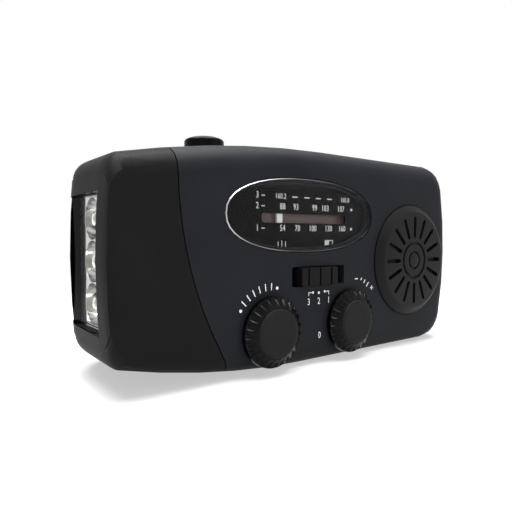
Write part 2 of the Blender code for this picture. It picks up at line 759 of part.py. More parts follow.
def body_form(wall, edge_steps):
    """The body's outer form, or the space a wall's thickness inside it."""
    radius = EDGE_RADIUS - wall
    quarter = math.pi / 2 / edge_steps
    rounding = [wall + radius * (1 - math.cos(quarter * step)) for step in range(edge_steps + 1)]
    turn_y = BACK_Y - TORCH_END_TURN_DEPTH
    last_y = BACK_Y - EDGE_RADIUS
    turn = [turn_y + step / edge_steps * (last_y - turn_y) for step in range(edge_steps)]
    depths = [FRONT_Y + depth for depth in rounding]
    depths += turn
    depths += [BACK_Y - depth for depth in reversed(rounding)]
    return loft([body_outline(y, wall) for y in depths])


def casing_side(radius, low, high):
    """The space on the casing's side of the seam with the torch cap."""
    top_z = BODY_HEIGHT + OVERRUN
    right_x = RIGHT_X + OVERRUN
    start = math.pi - math.asin((top_z - SEAM_Z) / radius)
    end = math.pi + math.asin((SEAM_Z + OVERRUN) / radius)
    outline = arc(SEAM_X, SEAM_Z, radius, start, end, SEAM_STEPS)
    outline += [(right_x, -OVERRUN), (right_x, top_z)]
    return prism(outline, low, high)


def superellipse(x, z, length, height, power, steps=FINE):
    """The (x, z) points of a rectangle whose sides swell, with full round corners."""
    points = []
    for step in range(steps):
        angle = 2 * math.pi * step / steps
        across_share = math.copysign(abs(math.cos(angle)) ** (2 / power), math.cos(angle))
        up_share = math.copysign(abs(math.sin(angle)) ** (2 / power), math.sin(angle))
        points.append((x + length / 2 * across_share, z + height / 2 * up_share))
    return points


def stepped(*levels):
    """A form through (outline, depth) pairs, whose outlines have as many points as each other."""
    return loft([[(x, y, z) for x, z in outline] for outline, y in levels])


def dial_outline(inset):
    return superellipse(DIAL_X, DIAL_Z, DIAL_LENGTH - 2 * inset, DIAL_HEIGHT - 2 * inset, DIAL_POWER)


def screw_places():
    """The (x, z) places of the four screws, and the side that each boss's web goes to."""
    right_x = RIGHT_X - SCREW_RIGHT_FROM_END
    return (
        (SCREW_LEFT_X, SCREW_LOW_Z, 0, -1),
        (SCREW_LEFT_X, BODY_HEIGHT - SCREW_TOP_LEFT_BELOW_TOP, 0, 1),
        (right_x, SCREW_LOW_Z, 1, 0),
        (right_x, BODY_HEIGHT - SCREW_TOP_RIGHT_BELOW_TOP, 1, 0),
    )


def boss_web(x, z, side, up, low, high):
    """A web from a screw boss to the wall beside, below or above it."""
    half = BOSS_WEB / 2
    if side:
        return box((x, low, z - half), (RIGHT_X, high, z + half))
    wall_z = BODY_HEIGHT if up > 0 else 0
    return box((x - half, low, min(z, wall_z)), (x + half, high, max(z, wall_z)))


def port_block(inset, depth_x):
    """The block round the socket recess, or the recess inside it."""
    half = PORT_WIDTH / 2 + inset
    return box(
        (PORT_FLOOR_X - depth_x, PORT_Y - half, PORT_LOW_Z - inset),
        (RIGHT_X + OVERRUN, PORT_Y + half, PORT_HIGH_Z + inset),
    )


def unite_inside(piece, *meshes):
    """Adds shapes to a shell, trimmed where they would pass halfway through its wall."""
    for mesh in meshes:
        helper = shape_with(piece, mesh, "UNION")
        keep(helper, body_form(WALL / 2, INNER_EDGE_STEPS))


def build_front_shell():
    """The front half of the casing, with the dial window, the speaker's seat and the bosses."""
    shell = add_piece("front_shell", body_form(0, EDGE_STEPS), "casing")
    seam_y = PART_LINE_Y - GAP / 2
    inside_y = INNER_FRONT_Y - WALL / 2
    cut(shell, body_form(WALL, INNER_EDGE_STEPS))
    keep(shell, casing_side(SEAM_RADIUS - GAP / 2, FRONT_Y - OVERRUN, seam_y))
    boss_y = seam_y - FRONT_BOSS_LENGTH
    for x, z, side, up in screw_places():
        unite_inside(shell, boss_web(x, z, side, up, boss_y, seam_y))
    bosses = [across(x, z, FRONT_BOSS_RADIUS, boss_y, seam_y, ROUND) for x, z, _, _ in screw_places()]
    unite(shell, joined(*bosses))
    posts = [across(x, z, BOARD_POST_RADIUS, inside_y, BOARD_Y - GAP) for x, z in BOARD_POSTS]
    posts.append(across(IDLER_X, IDLER_Z, TUNING_POST_RADIUS, inside_y, TUNING_GEAR_BACK_Y + GAP))
    unite(shell, joined(*posts))
    collar_y = TUNING_GEAR_Y - GAP
    unite(shell, across(IDLER_X, IDLER_Z, 2 * TUNING_POST_RADIUS, inside_y, collar_y))
    wall_radius = SPEAKER_RADIUS + GAP
    wall_y = INNER_FRONT_Y + SPEAKER_WALL_DEPTH
    ring = [
        (wall_radius + SPEAKER_WALL, inside_y),
        (wall_radius + SPEAKER_WALL, wall_y),
        (wall_radius, wall_y),
        (wall_radius, inside_y),
    ]
    unite(shell, ring_turned(ring, SPEAKER_X, SPEAKER_Z, FINE))
    unite_inside(shell, port_block(PORT_BLOCK_WALL, PORT_BLOCK_WALL))
    out_y = FRONT_Y - OVERRUN
    through_y = INNER_FRONT_Y + OVERRUN
    cut(
        shell,
        stepped(
            (dial_outline(0), out_y),
            (dial_outline(0), FRONT_Y + LENS_POCKET),
            (dial_outline(LENS_LEDGE), FRONT_Y + LENS_POCKET),
            (dial_outline(LENS_LEDGE), through_y),
        ),
        turned(
            [
                (0, out_y),
                (GRILLE_RADIUS + GAP, out_y),
                (GRILLE_RADIUS + GAP, FRONT_Y + GRILLE_SEAT),
                (GRILLE_SPIGOT_RADIUS + GAP, FRONT_Y + GRILLE_SEAT),
                (GRILLE_SPIGOT_RADIUS + GAP, through_y),
                (0, through_y),
            ],
            SPEAKER_X,
            SPEAKER_Z,
            FINE,
        ),
    )
    switch = rounded_rectangle(
        SWITCH_X, SWITCH_Z, SWITCH_SLOT_LENGTH, SWITCH_SLOT_HEIGHT, SLIDER_GROOVE
    )
    cut(
        shell,
        joined(
            prism(switch, out_y, through_y),
            across(TUNING_KNOB_X, KNOB_Z, SHAFT_RADIUS + GAP, out_y, through_y, ROUND),
            across(VOLUME_KNOB_X, KNOB_Z, SHAFT_RADIUS + GAP, out_y, through_y, ROUND),
            *[
                across(x, z, SCREW_RADIUS + GAP, boss_y - OVERRUN, seam_y + OVERRUN)
                for x, z, _, _ in screw_places()
            ],
        ),
    )
    cut_top(shell)
    cut_ports(shell)


def cut_top(shell):
    """The button's hole, and the solar panel's pocket and opening."""
    top_z = BODY_HEIGHT + OVERRUN
    low_z = BODY_HEIGHT - 2 * WALL - OVERRUN
    button = rod((BUTTON_X, 0, low_z), (BUTTON_X, 0, top_z), BUTTON_RADIUS + GAP, ROUND)
    cut(shell, button)
    pocket = solar_outline(0)
    opening = solar_outline(SOLAR_LEDGE)
    floor_z = BODY_HEIGHT - SOLAR_POCKET
    cut(
        shell,
        loft(
            [
                [(x, y, top_z) for x, y in pocket],
                [(x, y, floor_z) for x, y in pocket],
                [(x, y, floor_z) for x, y in opening],
                [(x, y, low_z) for x, y in opening],
            ]
        ),
    )


def solar_outline(inset):
    """The (x, y) points of the solar panel's pocket, or of an outline inside it."""
    size = (SOLAR_LENGTH - 2 * inset, SOLAR_WIDTH - 2 * inset)
    return rounded_rectangle(SOLAR_X, 0, *size, SOLAR_CORNER)


def cut_ports(shell):
    """The recess at the speaker's end, and the holes that its two sockets pass through."""
    start_x = PORT_FLOOR_X - PORT_BLOCK_WALL - OVERRUN
    end_x = PORT_FLOOR_X + OVERRUN
    usb_width = USB_WIDTH / 2 + GAP
    usb_height = USB_HEIGHT / 2 + GAP
    low = (start_x, PORT_Y - usb_width, USB_Z - usb_height)
    high = (end_x, PORT_Y + usb_width, USB_Z + usb_height)
    charge_low = (start_x, PORT_Y, CHARGE_Z)
    charge_high = (end_x, PORT_Y, CHARGE_Z)
    cut(shell, port_block(0, 0))
    holes = (box(low, high), rod(charge_low, charge_high, CHARGE_RADIUS + GAP, ROUND))
    cut(shell, joined(*holes))


def tray_box(inset, front_y, back_y):
    """The battery tray's outline drawn in by an inset, between two depths."""
    half_length = TRAY_LENGTH / 2 + TRAY_WALL - inset
    half_height = TRAY_HEIGHT / 2 + TRAY_WALL - inset
    low = (BATTERY_X - half_length, front_y, BATTERY_Z - half_height)
    return box(low, (BATTERY_X + half_length, back_y, BATTERY_Z + half_height))


def door_outline(inset):
    length = TRAY_LENGTH + 2 * DOOR_LAP - 2 * inset
    height = TRAY_HEIGHT + 2 * DOOR_LAP - 2 * inset
    return rounded_rectangle(BATTERY_X, BATTERY_Z, length, height, DOOR_CORNER)


def build_rear_shell():
    """The back of the casing, with the crank's dish, the battery tray and the aerial's rebate."""
    shell = add_piece("rear_shell", body_form(0, EDGE_STEPS), "casing")
    seam_y = PART_LINE_Y + GAP / 2
    behind_y = BACK_Y - WALL / 2
    out_y = BACK_Y + OVERRUN
    rebate_x = LEFT_X - OVERRUN
    space = add_object("rear_space", body_form(WALL, INNER_EDGE_STEPS))
    space.hide_render = True
    space.display_type = "WIRE"
    lining_y = REBATE_Y - REBATE_LINING
    lining_z = REBATE_Z - REBATE_LINING
    cut(space, box((rebate_x, lining_y, lining_z), (RIGHT_X, out_y, BODY_HEIGHT)))
    modifier = shell.modifiers.new(space.name, "BOOLEAN")
    modifier.operation = "DIFFERENCE"
    modifier.solver = "EXACT"
    modifier.object = space
    keep(shell, casing_side(SEAM_RADIUS - GAP / 2, seam_y, out_y))
    dish_radius = DISH_RADIUS + DISH_WALL
    unite(shell, across(CRANK_X, MIDDLE_Z, dish_radius, DISH_FRONT_Y, behind_y, FINE))
    unite(shell, tray_box(0, TRAY_FLOOR_Y - TRAY_WALL, behind_y))
    unite(shell, across(STEP_X, STEP_Z, STEP_POST_RADIUS, STEP_GEAR_FRONT_Y - GAP, DISH_FLOOR_Y - GAP))
    collar_y = CRANK_GEAR_BACK_Y + GAP
    unite(shell, across(STEP_X, STEP_Z, 2 * STEP_POST_RADIUS, collar_y, DISH_FLOOR_Y - GAP))
    for x, z, side, up in screw_places():
        unite_inside(shell, boss_web(x, z, side, up, seam_y, behind_y))
    bosses = [across(x, z, BACK_BOSS_RADIUS, seam_y, behind_y, ROUND) for x, z, _, _ in screw_places()]
    unite(shell, joined(*bosses))
    cut(shell, across(CRANK_X, MIDDLE_Z, DISH_RADIUS, DISH_FLOOR_Y, out_y, FINE))
    door_floor_y = BACK_Y - DOOR_THICKNESS - GAP
    cut(
        shell,
        joined(
            across(CRANK_X, MIDDLE_Z, HUB_STEM_RADIUS + GAP, DISH_FRONT_Y - OVERRUN, DISH_FLOOR_Y + GAP),
            tray_box(TRAY_WALL, TRAY_FLOOR_Y, door_floor_y + GAP),
        ),
    )
    cut(shell, prism(door_outline(0), door_floor_y, out_y))
    head_y = BACK_Y - SCREW_HEAD_BELOW_BACK - SCREW_HEAD_HEIGHT - GAP
    for x, z, _, _ in screw_places():
        profile = [
            (0, seam_y - OVERRUN),
            (SCREW_RADIUS + GAP, seam_y - OVERRUN),
            (SCREW_RADIUS + GAP, head_y),
            (SCREW_HEAD_RADIUS + GAP, head_y),
            (SCREW_HEAD_RADIUS + GAP, out_y),
            (0, out_y),
        ]
        cut(shell, turned(profile, x, z))
    cut(shell, box((rebate_x, REBATE_Y, REBATE_Z), (RIGHT_X + OVERRUN, out_y, BODY_HEIGHT + OVERRUN)))
    stem_low = (AERIAL_X, AERIAL_Y, lining_z - OVERRUN)
    stem_high = (AERIAL_X, AERIAL_Y, REBATE_Z + OVERRUN)
    cut(shell, rod(stem_low, stem_high, FORK_STEM_RADIUS + GAP))


def window_box(inset, low_x, high_x):
    """The torch window's outline drawn in by an inset, between two X places."""
    half_depth = WINDOW_DEPTH / 2 - inset
    half_height = WINDOW_HEIGHT / 2 - inset
    low = (low_x, WINDOW_Y - half_depth, WINDOW_Z - half_height)
    return box(low, (high_x, WINDOW_Y + half_depth, WINDOW_Z + half_height))


def reflector_box(outset, low_x, high_x):
    """The reflector's outline widened by an outset, between two X places."""
    half_width = REFLECTOR_WIDTH / 2 + outset
    half_height = REFLECTOR_HEIGHT / 2 + outset
    low = (low_x, WINDOW_Y - half_width, WINDOW_Z - half_height)
    return box(low, (high_x, WINDOW_Y + half_width, WINDOW_Z + half_height))


def build_torch_cap():
    """The end cap that carries the torch, with a recess and a well for the reflector."""
    cap = add_piece("torch_cap", body_form(0, EDGE_STEPS), "cap")
    cut(cap, body_form(WALL, INNER_EDGE_STEPS))
    cut(cap, casing_side(SEAM_RADIUS + GAP / 2, FRONT_Y - OVERRUN, BACK_Y + OVERRUN))
    unite_inside(cap, window_box(-HOUSING_WALL, LEFT_X, RECESS_X + RECESS_FLOOR))
    unite(cap, reflector_box(GAP + HOUSING_WALL, RECESS_X + RECESS_FLOOR / 2, HOUSING_BACK_X))
    rod_z = AERIAL_Z - AERIAL_RADII[0]
    low = (LEFT_X, REBATE_Y, rod_z)
    cut(cap, box(low, (SEAM_X, BACK_Y + OVERRUN, BODY_HEIGHT + OVERRUN)))
    cut(cap, window_box(0, LEFT_X - OVERRUN, RECESS_X))
    cut(cap, reflector_box(GAP, RECESS_X - OVERRUN, HOUSING_BACK_X + OVERRUN))


# Torch
def build_torch():
    """The clear cover, the reflector with its three cups, the three lamps and their board."""
    half_width = REFLECTOR_WIDTH / 2
    half_height = REFLECTOR_HEIGHT / 2
    lens_low = (TORCH_LENS_X, WINDOW_Y - half_width, WINDOW_Z - half_height)
    lens_high = (TORCH_LENS_X + TORCH_LENS_THICKNESS, WINDOW_Y + half_width, WINDOW_Z + half_height)
    add_piece("torch_lens", box(lens_low, lens_high), "clear")
    back_x = REFLECTOR_X + REFLECTOR_DEPTH
    reflector = add_piece("torch_reflector", reflector_box(0, REFLECTOR_X, back_x), "silver")
    throats = []
    for number in range(LAMP_COUNT):
        z = WINDOW_Z + (number - 1) * CUP_PITCH
        front = (REFLECTOR_X - CUP_OVERRUN, WINDOW_Y, z)
        back = (back_x + CUP_OVERRUN, WINDOW_Y, z)
        throats.append(rod(front, back, CUP_RADIUS, ROUND, CUP_THROAT_RADIUS))
    cut(reflector, joined(*throats))
    board_high_x = LED_BOARD_X + LED_BOARD_THICKNESS
    add_piece("torch_board", reflector_box(0, LED_BOARD_X, board_high_x), "board")
    for number in range(LAMP_COUNT):
        z = WINDOW_Z + (number - 1) * CUP_PITCH
        foot_x = LED_BOARD_X - GAP
        shoulder_x = foot_x - LED_LENGTH + LED_RADIUS
        rings = [(foot_x, LED_RADIUS), (shoulder_x, LED_RADIUS)]
        for angle in (math.pi / 6, math.pi / 3):
            rings.append((shoulder_x - LED_RADIUS * math.sin(angle), LED_RADIUS * math.cos(angle)))
        mesh = loft(
            [
                [
                    (x, WINDOW_Y + radius * math.cos(turn), z + radius * math.sin(turn))
                    for turn in (2 * math.pi * step / SMALL for step in range(SMALL))
                ]
                for x, radius in rings
            ]
        )
        add_piece(f"torch_led_{number + 1}", mesh, "clear")


def build_torch_button():
    """The domed push button in the top, and the switch on its own small board below it."""
    top_z = top_edge(BUTTON_X)
    crown_z = top_z + BUTTON_PROUD
    skirt = BUTTON_RADIUS + BUTTON_FLANGE
    flange_z = top_edge(BUTTON_X - skirt) - WALL
    foot_z = flange_z - BUTTON_FLANGE_THICKNESS
    profile = [
        (0, foot_z),
        (skirt, foot_z),
        (skirt, flange_z - GAP),
        (BUTTON_RADIUS, flange_z - GAP),
        (BUTTON_RADIUS, crown_z - 2 * BUTTON_DOME),
        (BUTTON_RADIUS - BUTTON_DOME / 2, crown_z - BUTTON_DOME),
        (BUTTON_RADIUS - 2 * BUTTON_DOME, crown_z - BUTTON_DOME / 2),
        (BUTTON_RADIUS / 2, crown_z - BUTTON_DOME / 8),
        (0, crown_z),
    ]
    button = turned([(radius, -z) for radius, z in profile], 0, 0)
    upright = Matrix.Translation((BUTTON_X, 0, 0)) @ Matrix.Rotation(-math.pi / 2, 4, "X")
    add_piece("torch_button", moved(button, upright), "gloss_black", (BUTTON_X, 0, crown_z))
    plunger_z = foot_z - BUTTON_TRAVEL - GAP
    body_z = plunger_z - PLUNGER_HEIGHT
    board_z = body_z - TORCH_SWITCH_HEIGHT
    half = TORCH_SWITCH_SIDE / 2
    low = (BUTTON_X - half, -half, board_z)
    switch = add_piece("torch_switch", box(low, (BUTTON_X + half, half, body_z)), "grey_part")
    board_low = (BUTTON_X - half, BEHIND_BOARD_Y, board_z - BOARD_THICKNESS)
    board_high = (BUTTON_X + half, half, board_z + GAP)
    unite(switch, box(board_low, board_high))
    plunger_low = (BUTTON_X, 0, body_z - GAP)
    unite(switch, rod(plunger_low, (BUTTON_X, 0, plunger_z), PLUNGER_RADIUS))


# Dial
def build_dial():
    """The clear dial window, the printed plate behind it and the strip behind its slot."""
    front_y = FRONT_Y - LENS_PROUD
    lens = stepped(
        (dial_outline(GAP / 2 + LENS_EDGE), front_y),
        (dial_outline(GAP / 2), front_y + LENS_EDGE),
        (dial_outline(GAP / 2), FRONT_Y + LENS_POCKET - GAP),
    )
    add_piece("dial_lens", lens, "clear")
    back_y = DIAL_PLATE_Y + DIAL_PLATE_THICKNESS
    plate_outline = dial_outline(-DIAL_PLATE_MARGIN)
    plate = add_piece("dial_plate", prism(plate_outline, DIAL_PLATE_Y, back_y), "dial")
    slot = (SLOT_X, SLOT_Z, SLOT_LENGTH, SLOT_HEIGHT, SLOT_HEIGHT / 3)
    cut(plate, prism(rounded_rectangle(*slot), DIAL_PLATE_Y - OVERRUN, back_y + OVERRUN))
    half_length = SLOT_LENGTH / 2 + BACKING_MARGIN
    half_height = SLOT_HEIGHT / 2 + BACKING_MARGIN
    low = (SLOT_X - half_length, back_y + GAP, SLOT_Z - half_height)
    high = (SLOT_X + half_length, BACKING_Y + BACKING_THICKNESS, SLOT_Z + half_height)
    backing = add_piece("dial_backing", box(low, high), "red_bar")
    room = half_length - BACKING_THICKNESS
    low = (SLOT_X - room, back_y - OVERRUN, SLOT_Z - 2 * half_height)
    cut(backing, box(low, (SLOT_X + room, BACKING_Y, SLOT_Z + 2 * half_height)))


def build_pointer():
    """The pointer, its arm and the rack that the capacitor's gear drives, in one piece."""
    needle_back_y = NEEDLE_Y + NEEDLE_THICKNESS
    half = NEEDLE_WIDTH / 2
    needle_top_z = SLOT_Z + SLOT_HEIGHT / 2 + BACKING_MARGIN / 2
    bar_top_z = RACK_Z + DEDENDUM_SHARE * TUNING_MODULE + RACK_BAR_HEIGHT
    pivot = (NEEDLE_X, NEEDLE_Y, SLOT_Z)
    low = (NEEDLE_X - half, NEEDLE_Y, bar_top_z - RACK_BAR_HEIGHT / 2)
    needle = box(low, (NEEDLE_X + half, needle_back_y, needle_top_z))
    pointer = add_piece("dial_pointer", needle, "white", pivot)
    pitch = math.pi * TUNING_MODULE
    right_of_gear = (NEEDLE_X - (SLOT_X - SLOT_LENGTH / 2)) + pitch
    left_of_gear = SLOT_LENGTH - NEEDLE_FROM_SLOT_END + pitch
    first = -math.ceil(left_of_gear / pitch)
    last = math.ceil(right_of_gear / pitch)
    tip_z = RACK_Z - ADDENDUM_SHARE * TUNING_MODULE
    root_z = RACK_Z + DEDENDUM_SHARE * TUNING_MODULE
    lean = math.tan(PRESSURE_ANGLE)
    half_tooth = pitch / 4 - BACKLASH_SHARE * TUNING_MODULE / 4
    points = []
    for tooth in range(first, last + 1):
        x = CAPACITOR_X + (tooth + 0.5) * pitch
        root_half = half_tooth + (root_z - RACK_Z) * lean
        tip_half = half_tooth - (RACK_Z - tip_z) * lean
        points += [(x - root_half, root_z), (x - tip_half, tip_z)]
        points += [(x + tip_half, tip_z), (x + root_half, root_z)]
    left_x, right_x = points[0][0], points[-1][0]
    points += [(right_x, bar_top_z), (left_x, bar_top_z)]
    rack = prism(points, TUNING_GEAR_Y - GAP / 2, TUNING_GEAR_BACK_Y)
    unite(pointer, rack)


# Tuning train
def build_tuning_train():
    """The shaft with its pinion, the idler, the capacitor's gear and the capacitor."""
    gear_y = (TUNING_GEAR_Y, TUNING_GEAR_BACK_Y)
    pivot = (TUNING_KNOB_X, TUNING_GEAR_Y, KNOB_Z)
    outline = gear_outline(
        TUNING_KNOB_X, KNOB_Z, TUNING_PINION_TEETH, TUNING_MODULE, TUNING_PINION_PHASE
    )
    shaft = add_piece("tuning_shaft", prism(outline, *gear_y), "gear", pivot)
    shaft_end_y = TUNING_GEAR_BACK_Y + WALL / 2
    spindle = across(TUNING_KNOB_X, KNOB_Z, SHAFT_RADIUS, knob_bore_end(), shaft_end_y, ROUND)
    unite(shaft, spindle)
    pivot = (IDLER_X, TUNING_GEAR_Y, IDLER_Z)
    outline = gear_outline(IDLER_X, IDLER_Z, TUNING_IDLER_TEETH, TUNING_MODULE, IDLER_PHASE)
    idler = add_piece("tuning_idler_gear", prism(outline, *gear_y), "gear", pivot)
    bore = (TUNING_POST_RADIUS + GAP, TUNING_GEAR_Y - OVERRUN, TUNING_GEAR_BACK_Y + OVERRUN)
    cut(idler, across(IDLER_X, IDLER_Z, *bore))
    pivot = (CAPACITOR_X, TUNING_GEAR_Y, CAPACITOR_Z)
    teeth = TUNING_CAPACITOR_TEETH
    outline = gear_outline(CAPACITOR_X, CAPACITOR_Z, teeth, TUNING_MODULE, CAPACITOR_PHASE)
    gear = add_piece("tuning_capacitor_gear", prism(outline, *gear_y), "gear", pivot)
    stub_y = TUNING_GEAR_BACK_Y + WALL
    stub = (TUNING_POST_RADIUS, TUNING_GEAR_BACK_Y - GAP, stub_y)
    unite(gear, across(CAPACITOR_X, CAPACITOR_Z, *stub))
    half = CAPACITOR_SIDE / 2
    low = (CAPACITOR_X - half, TUNING_GEAR_BACK_Y + GAP, CAPACITOR_Z - half)
    high = (CAPACITOR_X + half, ON_BOARD_Y, CAPACITOR_Z + half)
    body = add_piece("tuning_capacitor", box(low, high), "grey_part")
    bore_y = stub_y + GAP
    cut(body, across(CAPACITOR_X, CAPACITOR_Z, TUNING_POST_RADIUS + GAP, TUNING_GEAR_Y, bore_y))


def knob_bore_end():
    """The depth at which a shaft ends, inside its knob."""
    return FRONT_Y - KNOB_HEIGHT + KNOB_TOP + GAP


def knob_ring(radius, y, flute):
    """A ring of the knob, with its radius drawn in along each flute."""
    steps = 2 * KNOB_FLUTES
    points = []
    for step in range(steps):
        angle = 2 * math.pi * step / steps
        local = radius - flute * (step % 2)
        points.append((local * math.cos(angle), y, local * math.sin(angle)))
    return points


def build_knob(name, x):
    """A round control knob with a fluted shoulder, hollow for its shaft."""
    pivot = (x, FRONT_Y, KNOB_Z)
    shoulder = (KNOB_RADIUS + KNOB_FACE_RADIUS) / 2
    shoulder_y = -KNOB_HEIGHT + (KNOB_HEIGHT - KNOB_WALL_HEIGHT) / 4
    mesh = loft(
        [
            knob_ring(KNOB_RADIUS, -GAP, 0),
            knob_ring(KNOB_RADIUS, -KNOB_WALL_HEIGHT / 2, 0),
            knob_ring(KNOB_RADIUS - KNOB_FACE_EDGE, -KNOB_WALL_HEIGHT, KNOB_FLUTE_DEPTH),
            knob_ring(shoulder, shoulder_y, KNOB_FLUTE_DEPTH / 2),
            knob_ring(KNOB_FACE_RADIUS, KNOB_FACE_EDGE - KNOB_HEIGHT, 0),
            knob_ring(KNOB_FACE_RADIUS - KNOB_FACE_EDGE, -KNOB_HEIGHT, 0),
        ]
    )
    knob = add_piece(name, mesh, "knob")
    knob.location = pivot
    bore_y = FRONT_Y - KNOB_HEIGHT + KNOB_TOP
    cut(knob, across(x, KNOB_Z, SHAFT_RADIUS + GAP / 2, bore_y, FRONT_Y + OVERRUN, ROUND))


# Volume and band controls
def build_volume():
    """The volume control on the board, and the shaft that turns in its bush."""
    end_y = BOARD_Y - CONTROL_FLOOR
    pivot = (VOLUME_KNOB_X, FRONT_Y, KNOB_Z)
    shaft = across(VOLUME_KNOB_X, KNOB_Z, SHAFT_RADIUS, knob_bore_end(), end_y - GAP, ROUND)
    add_piece("volume_shaft", shaft, "gear", pivot)
    bush_y = INNER_FRONT_Y + GAP
    body_y = ON_BOARD_Y - VOLUME_CONTROL_DEPTH
    profile = [
        (SHAFT_RADIUS + GAP, end_y),
        (0, end_y),
        (0, ON_BOARD_Y),
        (VOLUME_CONTROL_RADIUS, ON_BOARD_Y),
        (VOLUME_CONTROL_RADIUS, body_y),
        (VOLUME_BUSH_RADIUS, body_y),
        (VOLUME_BUSH_RADIUS, bush_y),
        (SHAFT_RADIUS + GAP, bush_y),
        (SHAFT_RADIUS + GAP, end_y),
    ]
    add_piece("volume_control", turned(profile, VOLUME_KNOB_X, KNOB_Z), "steel")


def build_band_switch():
    """The slider in its slot, with a flange behind the wall, and the switch that it works."""
    x = SWITCH_X + SLIDER_OFF_CENTRE
    height = SWITCH_SLOT_HEIGHT - 2 * SLIDER_PLAY
    face = rounded_rectangle(x, SWITCH_Z, SLIDER_LENGTH, height, SLIDER_GROOVE)
    pivot = (x, FRONT_Y, SWITCH_Z)
    flange_y = INNER_FRONT_Y + GAP
    flange_back_y = flange_y + SLIDER_FLANGE_THICKNESS
    plate = prism(face, FRONT_Y - SLIDER_PROUD, flange_back_y)
    slider = add_piece("band_slider", plate, "knob", pivot)
    half_length = SLIDER_LENGTH / 2 + SLIDER_FLANGE_LAP
    half_height = SWITCH_SLOT_HEIGHT / 2 + SLIDER_FLANGE_LAP
    low = (x - half_length, flange_y, SWITCH_Z - half_height)
    unite(slider, box(low, (x + half_length, flange_back_y, SWITCH_Z + half_height)))
    body_y = ON_BOARD_Y - SWITCH_BODY_THICKNESS
    half = SLIDER_STEM / 2
    low = (x - half, flange_y + GAP, SWITCH_Z - half)
    stem_y = body_y + SWITCH_WELL - GAP
    unite(slider, box(low, (x + half, stem_y, SWITCH_Z + half)))
    grooves = []
    for number in (-1, 0, 1):
        centre = x + number * SLIDER_GROOVE_PITCH
        low = (centre - SLIDER_GROOVE / 2, FRONT_Y - 2 * SLIDER_PROUD, SWITCH_Z - height)
        high_y = FRONT_Y - SLIDER_PROUD + SLIDER_GROOVE
        grooves.append(box(low, (centre + SLIDER_GROOVE / 2, high_y, SWITCH_Z + height)))
    cut(slider, joined(*grooves))
    low = (SWITCH_X - SWITCH_BODY_LENGTH / 2, body_y, SWITCH_Z - SWITCH_BODY_HEIGHT / 2)
    high = (SWITCH_X + SWITCH_BODY_LENGTH / 2, ON_BOARD_Y, SWITCH_Z + SWITCH_BODY_HEIGHT / 2)
    switch = add_piece("band_switch", box(low, high), "steel")
    reach = half + SLIDER_TRAVEL + SWITCH_SIDE_PLAY
    low = (x - reach, body_y - OVERRUN, SWITCH_Z - half - GAP)
    cut(switch, box(low, (x + reach, body_y + SWITCH_WELL, SWITCH_Z + half + GAP)))


# Speaker
def build_speaker():
    """The slotted grille outside, and the basket, cone and magnet inside."""
    face_y = FRONT_Y - GRILLE_HEIGHT
    under_y = face_y + GRILLE_THICKNESS
    rim_y = FRONT_Y + GRILLE_SEAT - GAP
    spigot_y = INNER_FRONT_Y - GAP
    profile = [
        (0, face_y),
        (GRILLE_FACE_RADIUS, face_y),
        (GRILLE_RADIUS, FRONT_Y - GRILLE_SEAT),
        (GRILLE_RADIUS, rim_y),
        (GRILLE_SPIGOT_RADIUS, rim_y),
        (GRILLE_SPIGOT_RADIUS, spigot_y),
        (GRILLE_SPIGOT_RADIUS - GRILLE_SPIGOT_WALL, spigot_y),
        (GRILLE_SPIGOT_RADIUS - GRILLE_SPIGOT_WALL, under_y),
        (0, under_y),
    ]
    grille = add_piece("speaker_grille", turned(profile, SPEAKER_X, SPEAKER_Z, FINE), "casing")
    slots = []
    for number in range(GRILLE_SLOTS):
        angle = 2 * math.pi * (number + 0.5) / GRILLE_SLOTS
        half = GRILLE_SLOT_WIDTH / 2
        low = (GRILLE_SLOT_INNER, face_y - OVERRUN, -half)
        mesh = box(low, (GRILLE_SLOT_OUTER, under_y + GAP, half))
        turn = Matrix.Rotation(angle, 4, "Y")
        slots.append(moved(mesh, Matrix.Translation((SPEAKER_X, 0, SPEAKER_Z)) @ turn))
    cut(grille, joined(*slots))
    grooves = []
    for radius in (GRILLE_RING_RADIUS, GRILLE_HUB_RADIUS):
        inner, outer = radius - GRILLE_GROOVE_WIDTH / 2, radius + GRILLE_GROOVE_WIDTH / 2
        floor_y = face_y + GRILLE_GROOVE_DEPTH
        ring = [(inner, face_y - GAP), (outer, face_y - GAP), (outer, floor_y), (inner, floor_y)]
        grooves.append(ring_turned(ring, SPEAKER_X, SPEAKER_Z, ROUND))
    cut(grille, joined(*grooves))
    rim_back_y = SPEAKER_Y + SPEAKER_RIM
    magnet_y = SPEAKER_BACK_Y - MAGNET_THICKNESS
    metal = SPEAKER_METAL
    basket = [
        (SPEAKER_RADIUS - metal, SPEAKER_Y),
        (SPEAKER_RADIUS, SPEAKER_Y),
        (SPEAKER_RADIUS, rim_back_y),
        (SPEAKER_NECK_RADIUS, magnet_y - GAP),
        (0, magnet_y - GAP),
        (0, magnet_y - GAP - metal),
        (SPEAKER_NECK_RADIUS - metal, magnet_y - GAP - metal),
    ]
    basket.append(basket[0])
    add_piece("speaker_frame", turned(basket, SPEAKER_X, SPEAKER_Z, ROUND), "steel")
    cone_y = SPEAKER_Y + GAP
    neck_y = cone_y + CONE_DEPTH
    cone = [
        (CONE_RADIUS, cone_y),
        (CONE_NECK_RADIUS, neck_y),
        (0, neck_y),
        (0, neck_y - CONE_THICKNESS),
        (CONE_NECK_RADIUS - CONE_THICKNESS / 2, neck_y - CONE_THICKNESS),
        (CONE_RADIUS - 2 * CONE_THICKNESS, cone_y),
    ]
    cone.append(cone[0])
    add_piece("speaker_cone", turned(cone, SPEAKER_X, SPEAKER_Z, ROUND), "paper")
    magnet = across(SPEAKER_X, SPEAKER_Z, SPEAKER_NECK_RADIUS, magnet_y, SPEAKER_BACK_Y, ROUND)
    add_piece("speaker_magnet", magnet, "steel")


